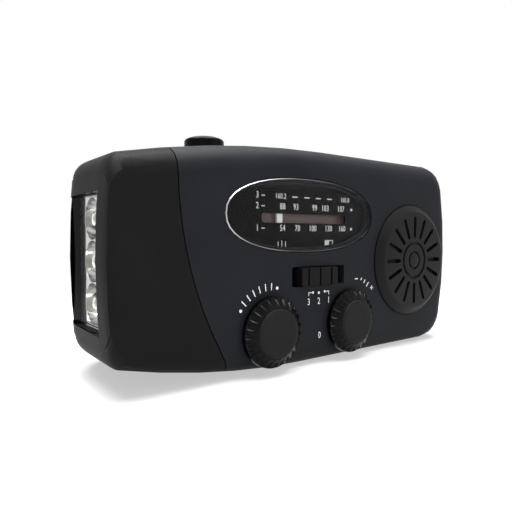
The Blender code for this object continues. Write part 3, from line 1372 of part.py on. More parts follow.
# Board and aerial rod
def build_board():
    """The main board, and the ferrite aerial with its coil."""
    low = (BOARD_LEFT_X, BOARD_Y, BOARD_LOW_Z)
    add_piece("main_board", box(low, (BOARD_RIGHT_X, BOARD_BACK_Y, BOARD_HIGH_Z)), "board")
    rod_y = BEHIND_BOARD_Y + FERRITE_RADIUS + COIL_THICKNESS + GAP
    start_x = FERRITE_X - FERRITE_LENGTH / 2
    core = rod((start_x, rod_y, FERRITE_Z), (start_x + FERRITE_LENGTH, rod_y, FERRITE_Z), FERRITE_RADIUS)
    add_piece("ferrite_rod", core, "ferrite")
    coil_x = FERRITE_X - COIL_LEFT_OF_ROD - COIL_LENGTH / 2
    inner = FERRITE_RADIUS + GAP
    outer = inner + COIL_THICKNESS
    profile = [(inner, 0), (outer, 0), (outer, COIL_LENGTH), (inner, COIL_LENGTH)]
    coil = ring_turned(profile, 0, 0, SMALL)
    place = Matrix.Translation((coil_x, rod_y, FERRITE_Z)) @ Matrix.Rotation(-math.pi / 2, 4, "Z")
    add_piece("ferrite_coil", moved(coil, place), "copper")


# Batteries
def build_batteries():
    """The three cells side by side in their tray, and the door over them."""
    half = CELL_LENGTH / 2
    for number in range(CELL_COUNT):
        z = BATTERY_Z + (number - 1) * CELL_PITCH
        way = 1 if number % 2 else -1
        start = (BATTERY_X - way * half, CELL_Y, z)
        end = (BATTERY_X + way * half, CELL_Y, z)
        cell = add_piece(f"battery_cell_{number + 1}", rod(start, end, CELL_RADIUS, ROUND), "green_wrap")
        tip = (BATTERY_X + way * (half + CELL_BUTTON_LENGTH), CELL_Y, z)
        inside = (BATTERY_X + way * (half - GAP), CELL_Y, z)
        unite(cell, rod(inside, tip, CELL_BUTTON_RADIUS))
    back_y = BACK_Y - DOOR_THICKNESS
    add_piece("battery_door", prism(door_outline(GAP), back_y, BACK_Y), "casing")


# Crank and generator
def build_generator():
    """The generator on the board, its rotor, the step-up gears and the crank's gear."""
    body_y = (BEHIND_BOARD_Y, BEHIND_BOARD_Y + GENERATOR_LENGTH)
    body = across(ROTOR_X, ROTOR_Z, GENERATOR_RADIUS, *body_y, ROUND)
    body = add_piece("generator_body", body, "steel")
    well_y = body_y[1] - GENERATOR_LENGTH / 2
    cut(body, across(ROTOR_X, ROTOR_Z, ROTOR_SHAFT_RADIUS + GAP, well_y, body_y[1] + OVERRUN))
    module = CRANK_GEAR_MODULE
    step_y = (STEP_GEAR_FRONT_Y, STEP_GEAR_BACK_Y)
    crank_y = (CRANK_GEAR_FRONT_Y, CRANK_GEAR_BACK_Y)
    outline = gear_outline(ROTOR_X, ROTOR_Z, ROTOR_PINION_TEETH, module, ROTOR_PHASE)
    rotor = add_piece("generator_rotor", prism(outline, *step_y), "steel", (ROTOR_X, 0, ROTOR_Z))
    shaft_y = (well_y + GAP, STEP_GEAR_FRONT_Y + GAP)
    unite(rotor, across(ROTOR_X, ROTOR_Z, ROTOR_SHAFT_RADIUS, *shaft_y))
    outline = gear_outline(STEP_X, STEP_Z, STEP_GEAR_TEETH, module, STEP_GEAR_PHASE)
    step = add_piece("compound_gear", prism(outline, *step_y), "gear", (STEP_X, 0, STEP_Z))
    outline = gear_outline(STEP_X, STEP_Z, STEP_PINION_TEETH, module, STEP_PINION_PHASE)
    unite(step, prism(outline, STEP_GEAR_BACK_Y - GAP, CRANK_GEAR_BACK_Y))
    bore = (STEP_POST_RADIUS + GAP, STEP_GEAR_FRONT_Y - OVERRUN, CRANK_GEAR_BACK_Y + OVERRUN)
    cut(step, across(STEP_X, STEP_Z, *bore))
    outline = gear_outline(CRANK_X, MIDDLE_Z, CRANK_GEAR_TEETH, module, CRANK_GEAR_PHASE)
    gear = add_piece("crank_gear", prism(outline, *crank_y), "gear", (CRANK_X, 0, MIDDLE_Z))
    bore = (HUB_STEM_RADIUS + GAP / 2, CRANK_GEAR_FRONT_Y - OVERRUN, CRANK_GEAR_BACK_Y + OVERRUN)
    cut(gear, across(CRANK_X, MIDDLE_Z, *bore, ROUND))


def build_crank():
    """The hub in its dish, the hinge pin, the folding arm and the knob on its own pin."""
    pivot = (CRANK_X, 0, MIDDLE_Z)
    hub_y = DISH_FLOOR_Y + GAP
    profile = [
        (0, CRANK_GEAR_FRONT_Y - GAP),
        (HUB_STEM_RADIUS, CRANK_GEAR_FRONT_Y - GAP),
        (HUB_STEM_RADIUS, hub_y),
        (HUB_RADIUS, hub_y),
        (HUB_RADIUS, HUB_TOP_Y - GAP),
        (HUB_RADIUS - GAP, HUB_TOP_Y),
        (0, HUB_TOP_Y),
    ]
    hub = add_piece("crank_hub", turned(profile, CRANK_X, MIDDLE_Z, 2 * ROUND), "knob", pivot)
    ear_z = BARREL_HALF_WIDTH + GAP
    for side in (-1, 1):
        near, far = side * ear_z, side * (ear_z + EAR_THICKNESS)
        low = (HINGE_X - HINGE_RADIUS + EAR_INSET, HUB_TOP_Y - GAP, MIDDLE_Z + min(near, far))
        high = (HINGE_X + HINGE_RADIUS, HINGE_Y, MIDDLE_Z + max(near, far))
        unite(hub, box(low, high))
        start, end = (HINGE_X, HINGE_Y, MIDDLE_Z + near), (HINGE_X, HINGE_Y, MIDDLE_Z + far)
        unite(hub, rod(start, end, HINGE_RADIUS, ROUND))
    pin_z = ear_z + EAR_THICKNESS
    pin_start, pin_end = (HINGE_X, HINGE_Y, MIDDLE_Z - pin_z), (HINGE_X, HINGE_Y, MIDDLE_Z + pin_z)
    bore_start = (HINGE_X, HINGE_Y, MIDDLE_Z - pin_z - OVERRUN)
    bore_end = (HINGE_X, HINGE_Y, MIDDLE_Z + pin_z + OVERRUN)
    cut(hub, rod(bore_start, bore_end, HINGE_PIN_RADIUS + GAP))
    add_piece("crank_hinge_pin", rod(pin_start, pin_end, HINGE_PIN_RADIUS), "steel")
    arm_end_x = CRANK_KNOB_X + ARM_HALF_WIDTH
    shoulder_x = HINGE_X + HINGE_RADIUS + 2 * GAP
    outline = rounded_rectangle(
        (shoulder_x + arm_end_x) / 2,
        MIDDLE_Z,
        arm_end_x - shoulder_x,
        2 * ARM_HALF_WIDTH,
        ARM_HALF_WIDTH - HINGE_PIN_RADIUS,
        EDGE_STEPS,
    )
    arm = add_piece(
        "crank_arm", prism(outline, ARM_INNER_Y, ARM_OUTER_Y), "knob", (HINGE_X, HINGE_Y, MIDDLE_Z)
    )
    barrel_start = (HINGE_X, HINGE_Y, MIDDLE_Z - BARREL_HALF_WIDTH)
    barrel_end = (HINGE_X, HINGE_Y, MIDDLE_Z + BARREL_HALF_WIDTH)
    unite(arm, rod(barrel_start, barrel_end, HINGE_RADIUS, ROUND))
    neck_low = (HINGE_X, ARM_INNER_Y, MIDDLE_Z - BARREL_HALF_WIDTH)
    neck_high = (shoulder_x + ARM_HALF_WIDTH, ARM_OUTER_Y, MIDDLE_Z + BARREL_HALF_WIDTH)
    unite(arm, box(neck_low, neck_high))
    cut(arm, rod(bore_start, bore_end, HINGE_PIN_RADIUS + GAP))
    out_y = ARM_OUTER_Y + OVERRUN
    pin_bore = (CRANK_PIN_RADIUS + GAP, ARM_INNER_Y - OVERRUN, out_y)
    cut(arm, across(CRANK_KNOB_X, MIDDLE_Z, *pin_bore, ROUND))
    head_y = DISH_FLOOR_Y + CRANK_PIN_OFF_FLOOR
    head_top_y = head_y + CRANK_PIN_HEAD_THICKNESS
    profile = [
        (0, head_y),
        (CRANK_PIN_HEAD_RADIUS, head_y),
        (CRANK_PIN_HEAD_RADIUS, head_top_y),
        (CRANK_PIN_RADIUS, head_top_y),
        (CRANK_PIN_RADIUS, ARM_OUTER_Y - GAP),
        (0, ARM_OUTER_Y - GAP),
    ]
    add_piece("crank_knob_pin", turned(profile, CRANK_KNOB_X, MIDDLE_Z, ROUND), "steel")
    low_y, high_y = head_top_y + GAP, ARM_INNER_Y - GAP
    waist = CRANK_KNOB_RADIUS - CRANK_KNOB_WAIST
    profile = [
        (CRANK_PIN_RADIUS + GAP, low_y),
        (waist, low_y),
        (CRANK_KNOB_RADIUS, low_y + CRANK_KNOB_WAIST),
        (waist, (low_y + high_y) / 2),
        (CRANK_KNOB_RADIUS, high_y - CRANK_KNOB_WAIST),
        (waist, high_y),
        (CRANK_PIN_RADIUS + GAP, high_y),
    ]
    knob = ring_turned(profile, CRANK_KNOB_X, MIDDLE_Z, ROUND)
    add_piece("crank_knob", knob, "knob", (CRANK_KNOB_X, 0, MIDDLE_Z))


# Telescopic aerial
def build_aerial():
    """The swivelling fork, and three tubes that slide inside each other."""
    fork_floor_z = REBATE_Z + GAP
    half_gap = FORK_GAP / 2
    half_width = half_gap + FORK_CHEEK
    low = (AERIAL_X - FORK_LENGTH, AERIAL_Y - half_width, fork_floor_z)
    high = (AERIAL_X + FORK_LENGTH, AERIAL_Y + half_width, AERIAL_Z + FORK_LENGTH)
    fork = add_piece("antenna_base", box(low, high), "chrome", (AERIAL_X, AERIAL_Y, AERIAL_Z))
    low = (AERIAL_X - 2 * FORK_LENGTH, AERIAL_Y - half_gap, fork_floor_z + FORK_FLOOR)
    high = (AERIAL_X + 2 * FORK_LENGTH, AERIAL_Y + half_gap, BODY_HEIGHT + OVERRUN)
    cut(fork, box(low, high))
    stem_low = (AERIAL_X, AERIAL_Y, REBATE_Z - FORK_STEM_LENGTH)
    unite(fork, rod(stem_low, (AERIAL_X, AERIAL_Y, fork_floor_z + GAP), FORK_STEM_RADIUS))
    pin_start = (AERIAL_X, AERIAL_Y - half_width, AERIAL_Z)
    pin_end = (AERIAL_X, AERIAL_Y + half_width, AERIAL_Z)
    unite(fork, rod(pin_start, pin_end, TONGUE_PIN_RADIUS))
    tube_x = AERIAL_X - TONGUE_LENGTH
    tip_x = AERIAL_X - AERIAL_LENGTH
    pivot = (AERIAL_X, AERIAL_Y, AERIAL_Z)
    last = len(AERIAL_RADII) - 1
    for number, radius in enumerate(AERIAL_RADII):
        start_x = tube_x - number * AERIAL_STEP
        end_x = tip_x + (last - number) * AERIAL_STEP
        start, end = (start_x, AERIAL_Y, AERIAL_Z), (end_x, AERIAL_Y, AERIAL_Z)
        tube = rod(start, end, radius, SMALL)
        place = pivot if number == 0 else end
        section = add_piece(f"antenna_section_{number + 1}", tube, "chrome", place)
        if number < last:
            bore_end = (start_x - AERIAL_STEP / 2, AERIAL_Y, AERIAL_Z)
            bore_start = (end_x - OVERRUN, AERIAL_Y, AERIAL_Z)
            cut(section, rod(bore_start, bore_end, AERIAL_RADII[number + 1] + GAP, SMALL))
        else:
            cap_end = (end_x - AERIAL_TIP_LENGTH + AERIAL_STEP, AERIAL_Y, AERIAL_Z)
            cap_start = (end_x + GAP, AERIAL_Y, AERIAL_Z)
            unite(section, rod(cap_start, cap_end, AERIAL_TIP_RADIUS, SMALL))
        if number == 0:
            thickness = half_gap - GAP
            tongue_radius = TONGUE_RADIUS
            eye_start = (AERIAL_X, AERIAL_Y - thickness, AERIAL_Z)
            eye_end = (AERIAL_X, AERIAL_Y + thickness, AERIAL_Z)
            unite(section, rod(eye_start, eye_end, tongue_radius, ROUND))
            low = (tube_x - GAP, AERIAL_Y - thickness, AERIAL_Z - tongue_radius)
            high = (AERIAL_X, AERIAL_Y + thickness, AERIAL_Z + tongue_radius)
            unite(section, box(low, high))
            bore_start = (AERIAL_X, AERIAL_Y - FORK_GAP, AERIAL_Z)
            bore_end = (AERIAL_X, AERIAL_Y + FORK_GAP, AERIAL_Z)
            cut(section, rod(bore_start, bore_end, TONGUE_PIN_RADIUS + GAP))


# Solar panel
def build_solar_panel():
    """The cell, and the clear cover that lies over it in the top."""
    floor_z = BODY_HEIGHT - SOLAR_POCKET
    for name, inset, low_z, thickness, finish in (
        ("solar_cover", GAP, floor_z + GAP, SOLAR_COVER_THICKNESS, "clear"),
        ("solar_panel", SOLAR_LEDGE + GAP, floor_z - SOLAR_CELL_THICKNESS, SOLAR_CELL_THICKNESS, "solar"),
    ):
        outline = solar_outline(inset)
        rings = [[(x, y, z) for x, y in outline] for z in (low_z, low_z + thickness)]
        add_piece(name, loft(rings), finish)


# Sockets
def build_ports():
    """The two sockets, and the rubber cover that closes their recess."""
    front_x = PORT_FLOOR_X - GAP
    half_width, half_height = USB_WIDTH / 2, USB_HEIGHT / 2
    low = (front_x - USB_LENGTH, PORT_Y - half_width, USB_Z - half_height)
    high = (front_x, PORT_Y + half_width, USB_Z + half_height)
    usb = add_piece("usb_socket", box(low, high), "steel")
    half_width -= USB_METAL
    half_height -= USB_METAL
    low = (front_x - USB_LENGTH + USB_METAL, PORT_Y - half_width, USB_Z - half_height)
    high = (front_x + OVERRUN, PORT_Y + half_width, USB_Z + half_height)
    cut(usb, box(low, high))
    low = (front_x - USB_LENGTH + GAP, PORT_Y + half_width - USB_TONGUE - GAP, USB_Z - half_height + USB_TONGUE)
    high = (front_x - USB_METAL, PORT_Y + half_width - GAP, USB_Z + half_height - USB_TONGUE)
    unite(usb, box(low, high))
    start, end = (front_x - CHARGE_LENGTH, PORT_Y, CHARGE_Z), (front_x, PORT_Y, CHARGE_Z)
    charge = add_piece("charge_socket", rod(start, end, CHARGE_RADIUS, ROUND), "grey_part")
    well = (front_x - CHARGE_LENGTH + USB_METAL, PORT_Y, CHARGE_Z)
    cut(charge, rod(well, (front_x + OVERRUN, PORT_Y, CHARGE_Z), CHARGE_BORE, ROUND))
    pin_start = (front_x - CHARGE_LENGTH + GAP, PORT_Y, CHARGE_Z)
    unite(charge, rod(pin_start, (front_x - USB_METAL, PORT_Y, CHARGE_Z), CHARGE_PIN))
    half = PORT_WIDTH / 2 - GAP
    low = (PORT_FLOOR_X + COVER_BACK, PORT_Y - half, COVER_BOTTOM_Z)
    high = (RIGHT_X + OVERRUN, PORT_Y + half, PORT_HIGH_Z - GAP)
    pivot = (COVER_HINGE_X, PORT_Y, COVER_HINGE_Z)
    cover = add_piece("port_cover", box(low, high), "rubber", pivot)
    keep(cover, body_form(0, EDGE_STEPS))
    barrel_start = (COVER_HINGE_X, PORT_Y - half, COVER_HINGE_Z)
    barrel_end = (COVER_HINGE_X, PORT_Y + half, COVER_HINGE_Z)
    unite(cover, rod(barrel_start, barrel_end, COVER_HINGE_RADIUS))


# Screws
def build_screws():
    """The four screws that hold the two halves of the casing together."""
    head_y = BACK_Y - SCREW_HEAD_BELOW_BACK
    neck_y = head_y - SCREW_HEAD_HEIGHT
    for number, (x, z, _, _) in enumerate(screw_places()):
        profile = [
            (0, neck_y - SCREW_LENGTH),
            (SCREW_RADIUS, neck_y - SCREW_LENGTH),
            (SCREW_RADIUS, neck_y),
            (SCREW_HEAD_RADIUS, neck_y),
            (SCREW_HEAD_RADIUS, head_y),
            (0, head_y),
        ]
        screw = add_piece(f"shell_screw_{number + 1}", turned(profile, x, z, SMALL), "steel")
        half = SCREW_SLOT_WIDTH / 2
        reach = SCREW_HEAD_RADIUS + GAP
        for length, height in ((reach, half), (half, reach)):
            low = (x - length, head_y - SCREW_SLOT_DEPTH, z - height)
            cut(screw, box(low, (x + length, head_y + OVERRUN, z + height)))


def clear_scene():
    for piece in list(bpy.data.objects):
        bpy.data.objects.remove(piece)


def main():
    clear_scene()
    build_front_shell()
    build_rear_shell()
    build_torch_cap()
    build_torch()
    build_torch_button()
    build_dial()
    build_pointer()
    build_tuning_train()
    build_knob("tuning_knob", TUNING_KNOB_X)
    build_knob("volume_knob", VOLUME_KNOB_X)
    build_volume()
    build_band_switch()
    build_speaker()
    build_board()
    build_batteries()
    build_generator()
    build_crank()
    build_aerial()
    build_solar_panel()
    build_ports()
    build_screws()


main()
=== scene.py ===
"""Finished look of a wind-up radio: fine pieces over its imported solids, their finishes, and a small studio."""

import json
import logging
import math
from dataclasses import dataclass
from enum import Enum
from typing import Iterable, Optional, Sequence

import bmesh
import bpy
from mathutils import Matrix, Vector
from mathutils.bvhtree import BVHTree

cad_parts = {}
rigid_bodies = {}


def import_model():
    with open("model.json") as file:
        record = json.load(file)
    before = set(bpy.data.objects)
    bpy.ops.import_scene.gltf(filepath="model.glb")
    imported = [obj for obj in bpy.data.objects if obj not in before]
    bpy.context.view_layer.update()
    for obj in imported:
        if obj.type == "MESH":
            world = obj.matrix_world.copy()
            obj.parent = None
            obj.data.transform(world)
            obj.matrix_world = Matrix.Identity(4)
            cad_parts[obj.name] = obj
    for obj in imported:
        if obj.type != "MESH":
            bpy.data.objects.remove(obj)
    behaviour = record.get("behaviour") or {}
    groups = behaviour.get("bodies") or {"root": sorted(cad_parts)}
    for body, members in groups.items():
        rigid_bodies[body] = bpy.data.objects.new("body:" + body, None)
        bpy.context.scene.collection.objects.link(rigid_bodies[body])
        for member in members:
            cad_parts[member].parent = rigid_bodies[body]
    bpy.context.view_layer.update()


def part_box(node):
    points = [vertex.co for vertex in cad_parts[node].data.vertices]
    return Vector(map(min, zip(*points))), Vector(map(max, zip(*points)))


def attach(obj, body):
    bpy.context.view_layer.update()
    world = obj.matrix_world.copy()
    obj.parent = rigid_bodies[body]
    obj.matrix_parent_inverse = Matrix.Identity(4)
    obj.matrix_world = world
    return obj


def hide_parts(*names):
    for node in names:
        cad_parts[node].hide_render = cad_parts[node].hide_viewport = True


LOG = logging.getLogger("radio")

# Lengths are in metres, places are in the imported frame, and noise scales are grains per metre.
MERGE_DISTANCE = 0.000004
SHARP_ANGLE = math.radians(32)
FLAT_ANGLE = math.radians(0.4)
EDGE_WIDTH = 0.00018
FINE_EDGE = 0.0001
SHELL_EDGE = 0.00022
EDGE_STEPS = 2
FULL_TURN = 2 * math.pi
QUARTER_TURN = math.pi / 2
FINE_SEGMENTS = 128
BOWL_SEGMENTS = 64
SMALL_SEGMENTS = 48
FLUTE_SEGMENTS = 24
DOT_SEGMENTS = 16
PRINT_THICKNESS = 0.00005
NOISE_RANGE = (0.3, 0.7)
# The two colour inputs of a mix node, which share their names with inputs of other types.
MIX_COLOURS = slice(6, 8)
# The rays that see the surroundings as plain white. The others are lit by them.
SEEING_RAYS = ("Is Camera Ray", "Is Glossy Ray", "Is Transmission Ray")

Point = Sequence[float]


class Axis(Enum):
    """The frame's three directions."""

    X = Vector((1, 0, 0))
    Y = Vector((0, 1, 0))
    Z = Vector((0, 0, 1))


class Body(Enum):
    """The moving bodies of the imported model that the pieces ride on."""

    CASING = "casing"
    TORCH_BUTTON = "torch_button"
    TUNING_KNOB = "tuning_knob"
    POINTER = "dial_pointer"
    VOLUME_KNOB = "volume_knob"
    BAND_SLIDER = "band_slider"
    CRANK_HUB = "crank_hub"
    ROTOR = "generator_rotor"
    CRANK_ARM = "crank_arm"
    CRANK_KNOB = "crank_knob"
    AERIAL_BASE = "antenna_base"
    AERIAL_TUBE_1 = "antenna_section_1"
    AERIAL_TUBE_2 = "antenna_section_2"
    AERIAL_TUBE_3 = "antenna_section_3"
    PORT_COVER = "port_cover"
    BATTERY_DOOR = "battery_door"


def calculated(
    tree: bpy.types.NodeTree,
    operation: str,
    first: bpy.types.NodeSocket,
    second: bpy.types.NodeSocket | float,
) -> bpy.types.NodeSocket:
    """Adds a sum of two values to a node tree.

    Args:
        tree: The tree.
        operation: The sum, such as MULTIPLY or MAXIMUM.
        first: The first value.
        second: The second value.

    Returns:
        The result.
    """
    node = tree.nodes.new("ShaderNodeMath")
    node.operation = operation
    tree.links.new(first, node.inputs[0])
    if isinstance(second, bpy.types.NodeSocket):
        tree.links.new(second, node.inputs[1])
    else:
        node.inputs[1].default_value = second
    return node.outputs[0]


def mixed(
    tree: bpy.types.NodeTree,
    share: bpy.types.NodeSocket,
    first: bpy.types.NodeSocket,
    second: bpy.types.NodeSocket,
) -> bpy.types.NodeSocket:
    """Adds a blend of two shaders to a node tree.

    Args:
        tree: The tree.
        share: 0 for the first shader and 1 for the second.
        first: The first shader.
        second: The second shader.

    Returns:
        The blended shader.
    """
    node = tree.nodes.new("ShaderNodeMixShader")
    for source, socket in zip((share, first, second), node.inputs):
        tree.links.new(source, socket)
    return node.outputs[0]


def of_rays(tree: bpy.types.NodeTree, kinds: Sequence[str]) -> bpy.types.NodeSocket:
    """Adds a test of the ray's kind to a node tree.

    Args:
        tree: The tree.
        kinds: The light path's outputs for the kinds.

    Returns:
        1 for a ray of one of the kinds, and 0 for any other.
    """
    path = tree.nodes.new("ShaderNodeLightPath")
    found = path.outputs[kinds[0]]
    for kind in kinds[1:]:
        found = calculated(tree, "MAXIMUM", found, path.outputs[kind])
    return found


class NodeTree:
    """A material's node tree, with short calls for the nodes that the finishes use."""

    def __init__(self, name: str) -> None:
        """Starts a material of that name with its Principled shader.

        Args:
            name: The material's name.
        """
        self.material = bpy.data.materials.new(name)
        self.material.use_nodes = True
        self.tree = self.material.node_tree
        self.shader = self.tree.nodes["Principled BSDF"]
        self.place = self.add("ShaderNodeTexCoord").outputs["Object"]

    def add(self, kind: str, **inputs: object) -> bpy.types.Node:
        """Adds a node and sets or links its inputs.

        Args:
            kind: The node's type name.
            **inputs: A value or an output socket for each input, its spaces written as underscores.

        Returns:
            The node.
        """
        return self.fill(self.tree.nodes.new(kind), inputs)

    def set(self, **inputs: object) -> None:
        """Sets or links the shader's inputs.

        Args:
            **inputs: A value or an output socket for each input, its spaces written as underscores.
        """
        self.fill(self.shader, inputs)

    def fill(self, node: bpy.types.Node, inputs: dict[str, object]) -> bpy.types.Node:
        """Sets or links a node's inputs.

        Args:
            node: The node.
            inputs: A value or an output socket for each input, its spaces written as underscores.

        Returns:
            The node.
        """
        for name, value in inputs.items():
            socket = node.inputs[name.replace("_", " ")]
            if isinstance(value, bpy.types.NodeSocket):
                self.tree.links.new(value, socket)
            else:
                socket.default_value = value
        return node

    def noise(self, scale: float, detail: float = 3.0, stretch: Optional[Point] = None) -> bpy.types.NodeSocket:
        """A noise pattern on the object's own coordinates.

        Args:
            scale: Grains per metre.
            detail: The noise's detail.
            stretch: How much the pattern is squeezed along each axis, if it is.

        Returns:
            The noise's factor.
        """
        place = self.place
        if stretch:
            place = self.add("ShaderNodeMapping", Vector=place, Scale=stretch).outputs["Vector"]
        return self.add("ShaderNodeTexNoise", Vector=place, Scale=scale, Detail=detail).outputs["Fac"]

    def spread(self, factor: bpy.types.NodeSocket, low: float, high: float) -> bpy.types.NodeSocket:
        """Maps the middle of a noise's range to a range of values.

        Args:
            factor: The noise.
            low: The value at the noise's low end.
            high: The value at its high end.

        Returns:
            The mapped value.
        """
        least, most = NOISE_RANGE
        node = self.add("ShaderNodeMapRange", Value=factor, From_Min=least, From_Max=most, To_Min=low, To_Max=high)
        return node.outputs["Result"]

    def tint(
        self,
        factor: bpy.types.NodeSocket,
        first: Point | bpy.types.NodeSocket,
        second: Point | bpy.types.NodeSocket,
    ) -> bpy.types.NodeSocket:
        """Blends between two colours.

        Args:
            factor: 0 for the first colour and 1 for the second.
            first: The first colour, or the socket that gives it.
            second: The second colour, or the socket that gives it.

        Returns:
            The blended colour.
        """
        node = self.tree.nodes.new("ShaderNodeMix")
        node.data_type = "RGBA"
        self.tree.links.new(factor, node.inputs[0])
        for colour, socket in zip((first, second), node.inputs[MIX_COLOURS]):
            if isinstance(colour, bpy.types.NodeSocket):
                self.tree.links.new(colour, socket)
            else:
                socket.default_value = (*colour, 1)
        return node.outputs[2]

    def bump(self, height: bpy.types.NodeSocket, depth: float, strength: float) -> bpy.types.NodeSocket:
        """A bump from a height pattern.

        Args:
            height: The pattern.
            depth: The pattern's depth in metres.
            strength: From 0 to 1, how strongly the bump shows.

        Returns:
            The bumped normal.
        """
        return self.add("ShaderNodeBump", Height=height, Distance=depth, Strength=strength).outputs["Normal"]


def shade(colour: Point, factor: float) -> tuple[float, ...]:
    """The colour made lighter or darker.

    Args:
        colour: Linear red, green and blue.
        factor: More than 1 for lighter.

    Returns:
        The new colour.
    """
    return tuple(min(1.0, value * factor) for value in colour)


@dataclass(frozen=True)
class Moulded:
    """A moulded plastic, rubber or paper surface with a fine grain and faint cloudy wear."""

    name: str
    slot: str
    colour: tuple[float, float, float]
    roughness: float
    grain: float = 5200.0
    grain_depth: float = 0.00003
    grain_strength: float = 0.25
    cloud: float = 55.0
    cloud_tint: float = 0.16
    roughness_spread: float = 0.05
    coat: float = 0.0
    specular: float = 0.5
    cloud_detail: float = 5.0
    grain_detail: float = 2.0

    def material(self) -> bpy.types.Material:
        """Makes the finish's material."""
        nodes = NodeTree(self.name)
        cloud = nodes.noise(self.cloud, self.cloud_detail)
        grain = nodes.noise(self.grain, self.grain_detail)
        dark, light = shade(self.colour, 1 - self.cloud_tint), shade(self.colour, 1 + self.cloud_tint)
        clouded = nodes.spread(cloud, 0.0, 1.0)
        nodes.set(Base_Color=nodes.tint(clouded, dark, light))
        low, high = self.roughness - self.roughness_spread, self.roughness + self.roughness_spread
        nodes.set(Roughness=nodes.spread(cloud, low, high))
        nodes.set(Normal=nodes.bump(grain, self.grain_depth, self.grain_strength))
        nodes.set(Specular_IOR_Level=self.specular, Coat_Weight=self.coat)
        return nodes.material


@dataclass(frozen=True)
class Metal:
    """A plated or brushed metal, with fine scratches that run round or along the piece."""

    name: str
    slot: str
    colour: tuple[float, float, float]
    roughness: float
    scratch: float = 900.0
    stretch: tuple[float, float, float] = (0.05, 1.0, 1.0)
    scratch_depth: float = 0.00001
    scratch_strength: float = 0.15
    roughness_spread: float = 0.05
    scratch_detail: float = 4.0
    smear_share: float = 0.1
    worn_shade: float = 0.86

    def material(self) -> bpy.types.Material:
        """Makes the finish's material."""
        nodes = NodeTree(self.name)
        scratches = nodes.noise(self.scratch, self.scratch_detail, self.stretch)
        smear = nodes.noise(self.scratch * self.smear_share)
        worn = shade(self.colour, self.worn_shade)
        nodes.set(Base_Color=nodes.tint(nodes.spread(smear, 0.0, 1.0), worn, self.colour))
        low, high = self.roughness - self.roughness_spread, self.roughness + self.roughness_spread
        nodes.set(Roughness=nodes.spread(scratches, low, high), Metallic=1.0)
        nodes.set(Normal=nodes.bump(scratches, self.scratch_depth, self.scratch_strength))
        return nodes.material


@dataclass(frozen=True)
class Clear:
    """A clear moulded plastic with faint dust and rub marks."""

    name: str
    slot: str
    colour: tuple[float, float, float]
    roughness: float = 0.03
    index: float = 1.49
    mark: float = 420.0
    mark_detail: float = 6.0
    mark_shade: float = 1.04
    wave: float = 60.0
    wave_detail: float = 2.0
    wave_depth: float = 0.00002
    wave_strength: float = 0.05

    def material(self) -> bpy.types.Material:
        """Makes the finish's material."""
        nodes = NodeTree(self.name)
        marks = nodes.noise(self.mark, self.mark_detail)
        waves = nodes.noise(self.wave, self.wave_detail)
        marked = shade(self.colour, self.mark_shade)
        nodes.set(Base_Color=nodes.tint(nodes.spread(marks, 0.0, 1.0), self.colour, marked))
        nodes.set(Roughness=nodes.spread(marks, self.roughness / 2, self.roughness * 2))
        nodes.set(Transmission_Weight=1.0, IOR=self.index)
        nodes.set(Normal=nodes.bump(waves, self.wave_depth, self.wave_strength))
        return nodes.material


@dataclass(frozen=True)
class CircuitBoard:
    """A solder-masked board, its copper tracks showing faintly under the mask."""

    name: str
    slot: str
    mask: tuple[float, float, float]
    track: tuple[float, float, float]
    track_scale: float = 300.0
    track_edges: tuple[float, float] = (0.05, 0.09)
    track_depth: float = 0.00003
    track_strength: float = 0.4
    grain: float = 700.0
    roughness: tuple[float, float] = (0.25, 0.4)
    coat: float = 0.3

    def material(self) -> bpy.types.Material:
        """Makes the finish's material."""
        nodes = NodeTree(self.name)
        cells = nodes.add("ShaderNodeTexVoronoi", Vector=nodes.place, Scale=self.track_scale)
        cells.feature = "DISTANCE_TO_EDGE"
        inner, outer = self.track_edges
        tracks = nodes.add(
            "ShaderNodeMapRange",
            Value=cells.outputs["Distance"],
            From_Min=inner,
            From_Max=outer,
            To_Min=1.0,
            To_Max=0.0,
        ).outputs["Result"]
        nodes.set(Base_Color=nodes.tint(tracks, self.mask, self.track))
        nodes.set(Roughness=nodes.spread(nodes.noise(self.grain), *self.roughness), Coat_Weight=self.coat)
        nodes.set(Normal=nodes.bump(tracks, self.track_depth, self.track_strength))
        return nodes.material


@dataclass(frozen=True)
class SolarCells:
    """Dark silicon strips with fine silver lines between them."""

    name: str
    slot: str
    silicon: tuple[float, float, float]
    line: tuple[float, float, float]
    strip_length: float = 0.0093
    strip_width: float = 0.1
    line_share: float = 0.035
    finger_scale: float = 260.0
    finger_edge: float = 0.9
    finger_strength: float = 0.2
    cloud: float = 240.0
    cloud_shade: float = 1.4
    grain: float = 500.0
    roughness: tuple[float, float] = (0.25, 0.4)
    specular: float = 0.08

    def material(self) -> bpy.types.Material:
        """Makes the finish's material."""
        nodes = NodeTree(self.name)
        strips = nodes.add(
            "ShaderNodeTexBrick",
            Vector=nodes.place,
            Scale=1.0,
            Brick_Width=self.strip_length,
            Row_Height=self.strip_width,
            Mortar_Size=self.strip_length * self.line_share / 2,
            Mortar_Smooth=0.0,
        )
        strips.offset = 0.0
        fingers = nodes.add("ShaderNodeTexWave", Vector=nodes.place, Scale=self.finger_scale)
        fingers.bands_direction = "Y"
        thin = nodes.add("ShaderNodeMapRange", Value=fingers.outputs["Fac"], From_Min=self.finger_edge, From_Max=1.0)
        clouded = nodes.spread(nodes.noise(self.cloud), 0.0, 1.0)
        silicon = nodes.tint(clouded, self.silicon, shade(self.silicon, self.cloud_shade))
        lined = nodes.tint(strips.outputs["Fac"], silicon, self.line)
        faint = calculated(nodes.tree, "MULTIPLY", thin.outputs["Result"], self.finger_strength)
        nodes.set(Base_Color=nodes.tint(faint, lined, self.line), Specular_IOR_Level=self.specular)
        nodes.set(Roughness=nodes.spread(nodes.noise(self.grain), *self.roughness))
        return nodes.material


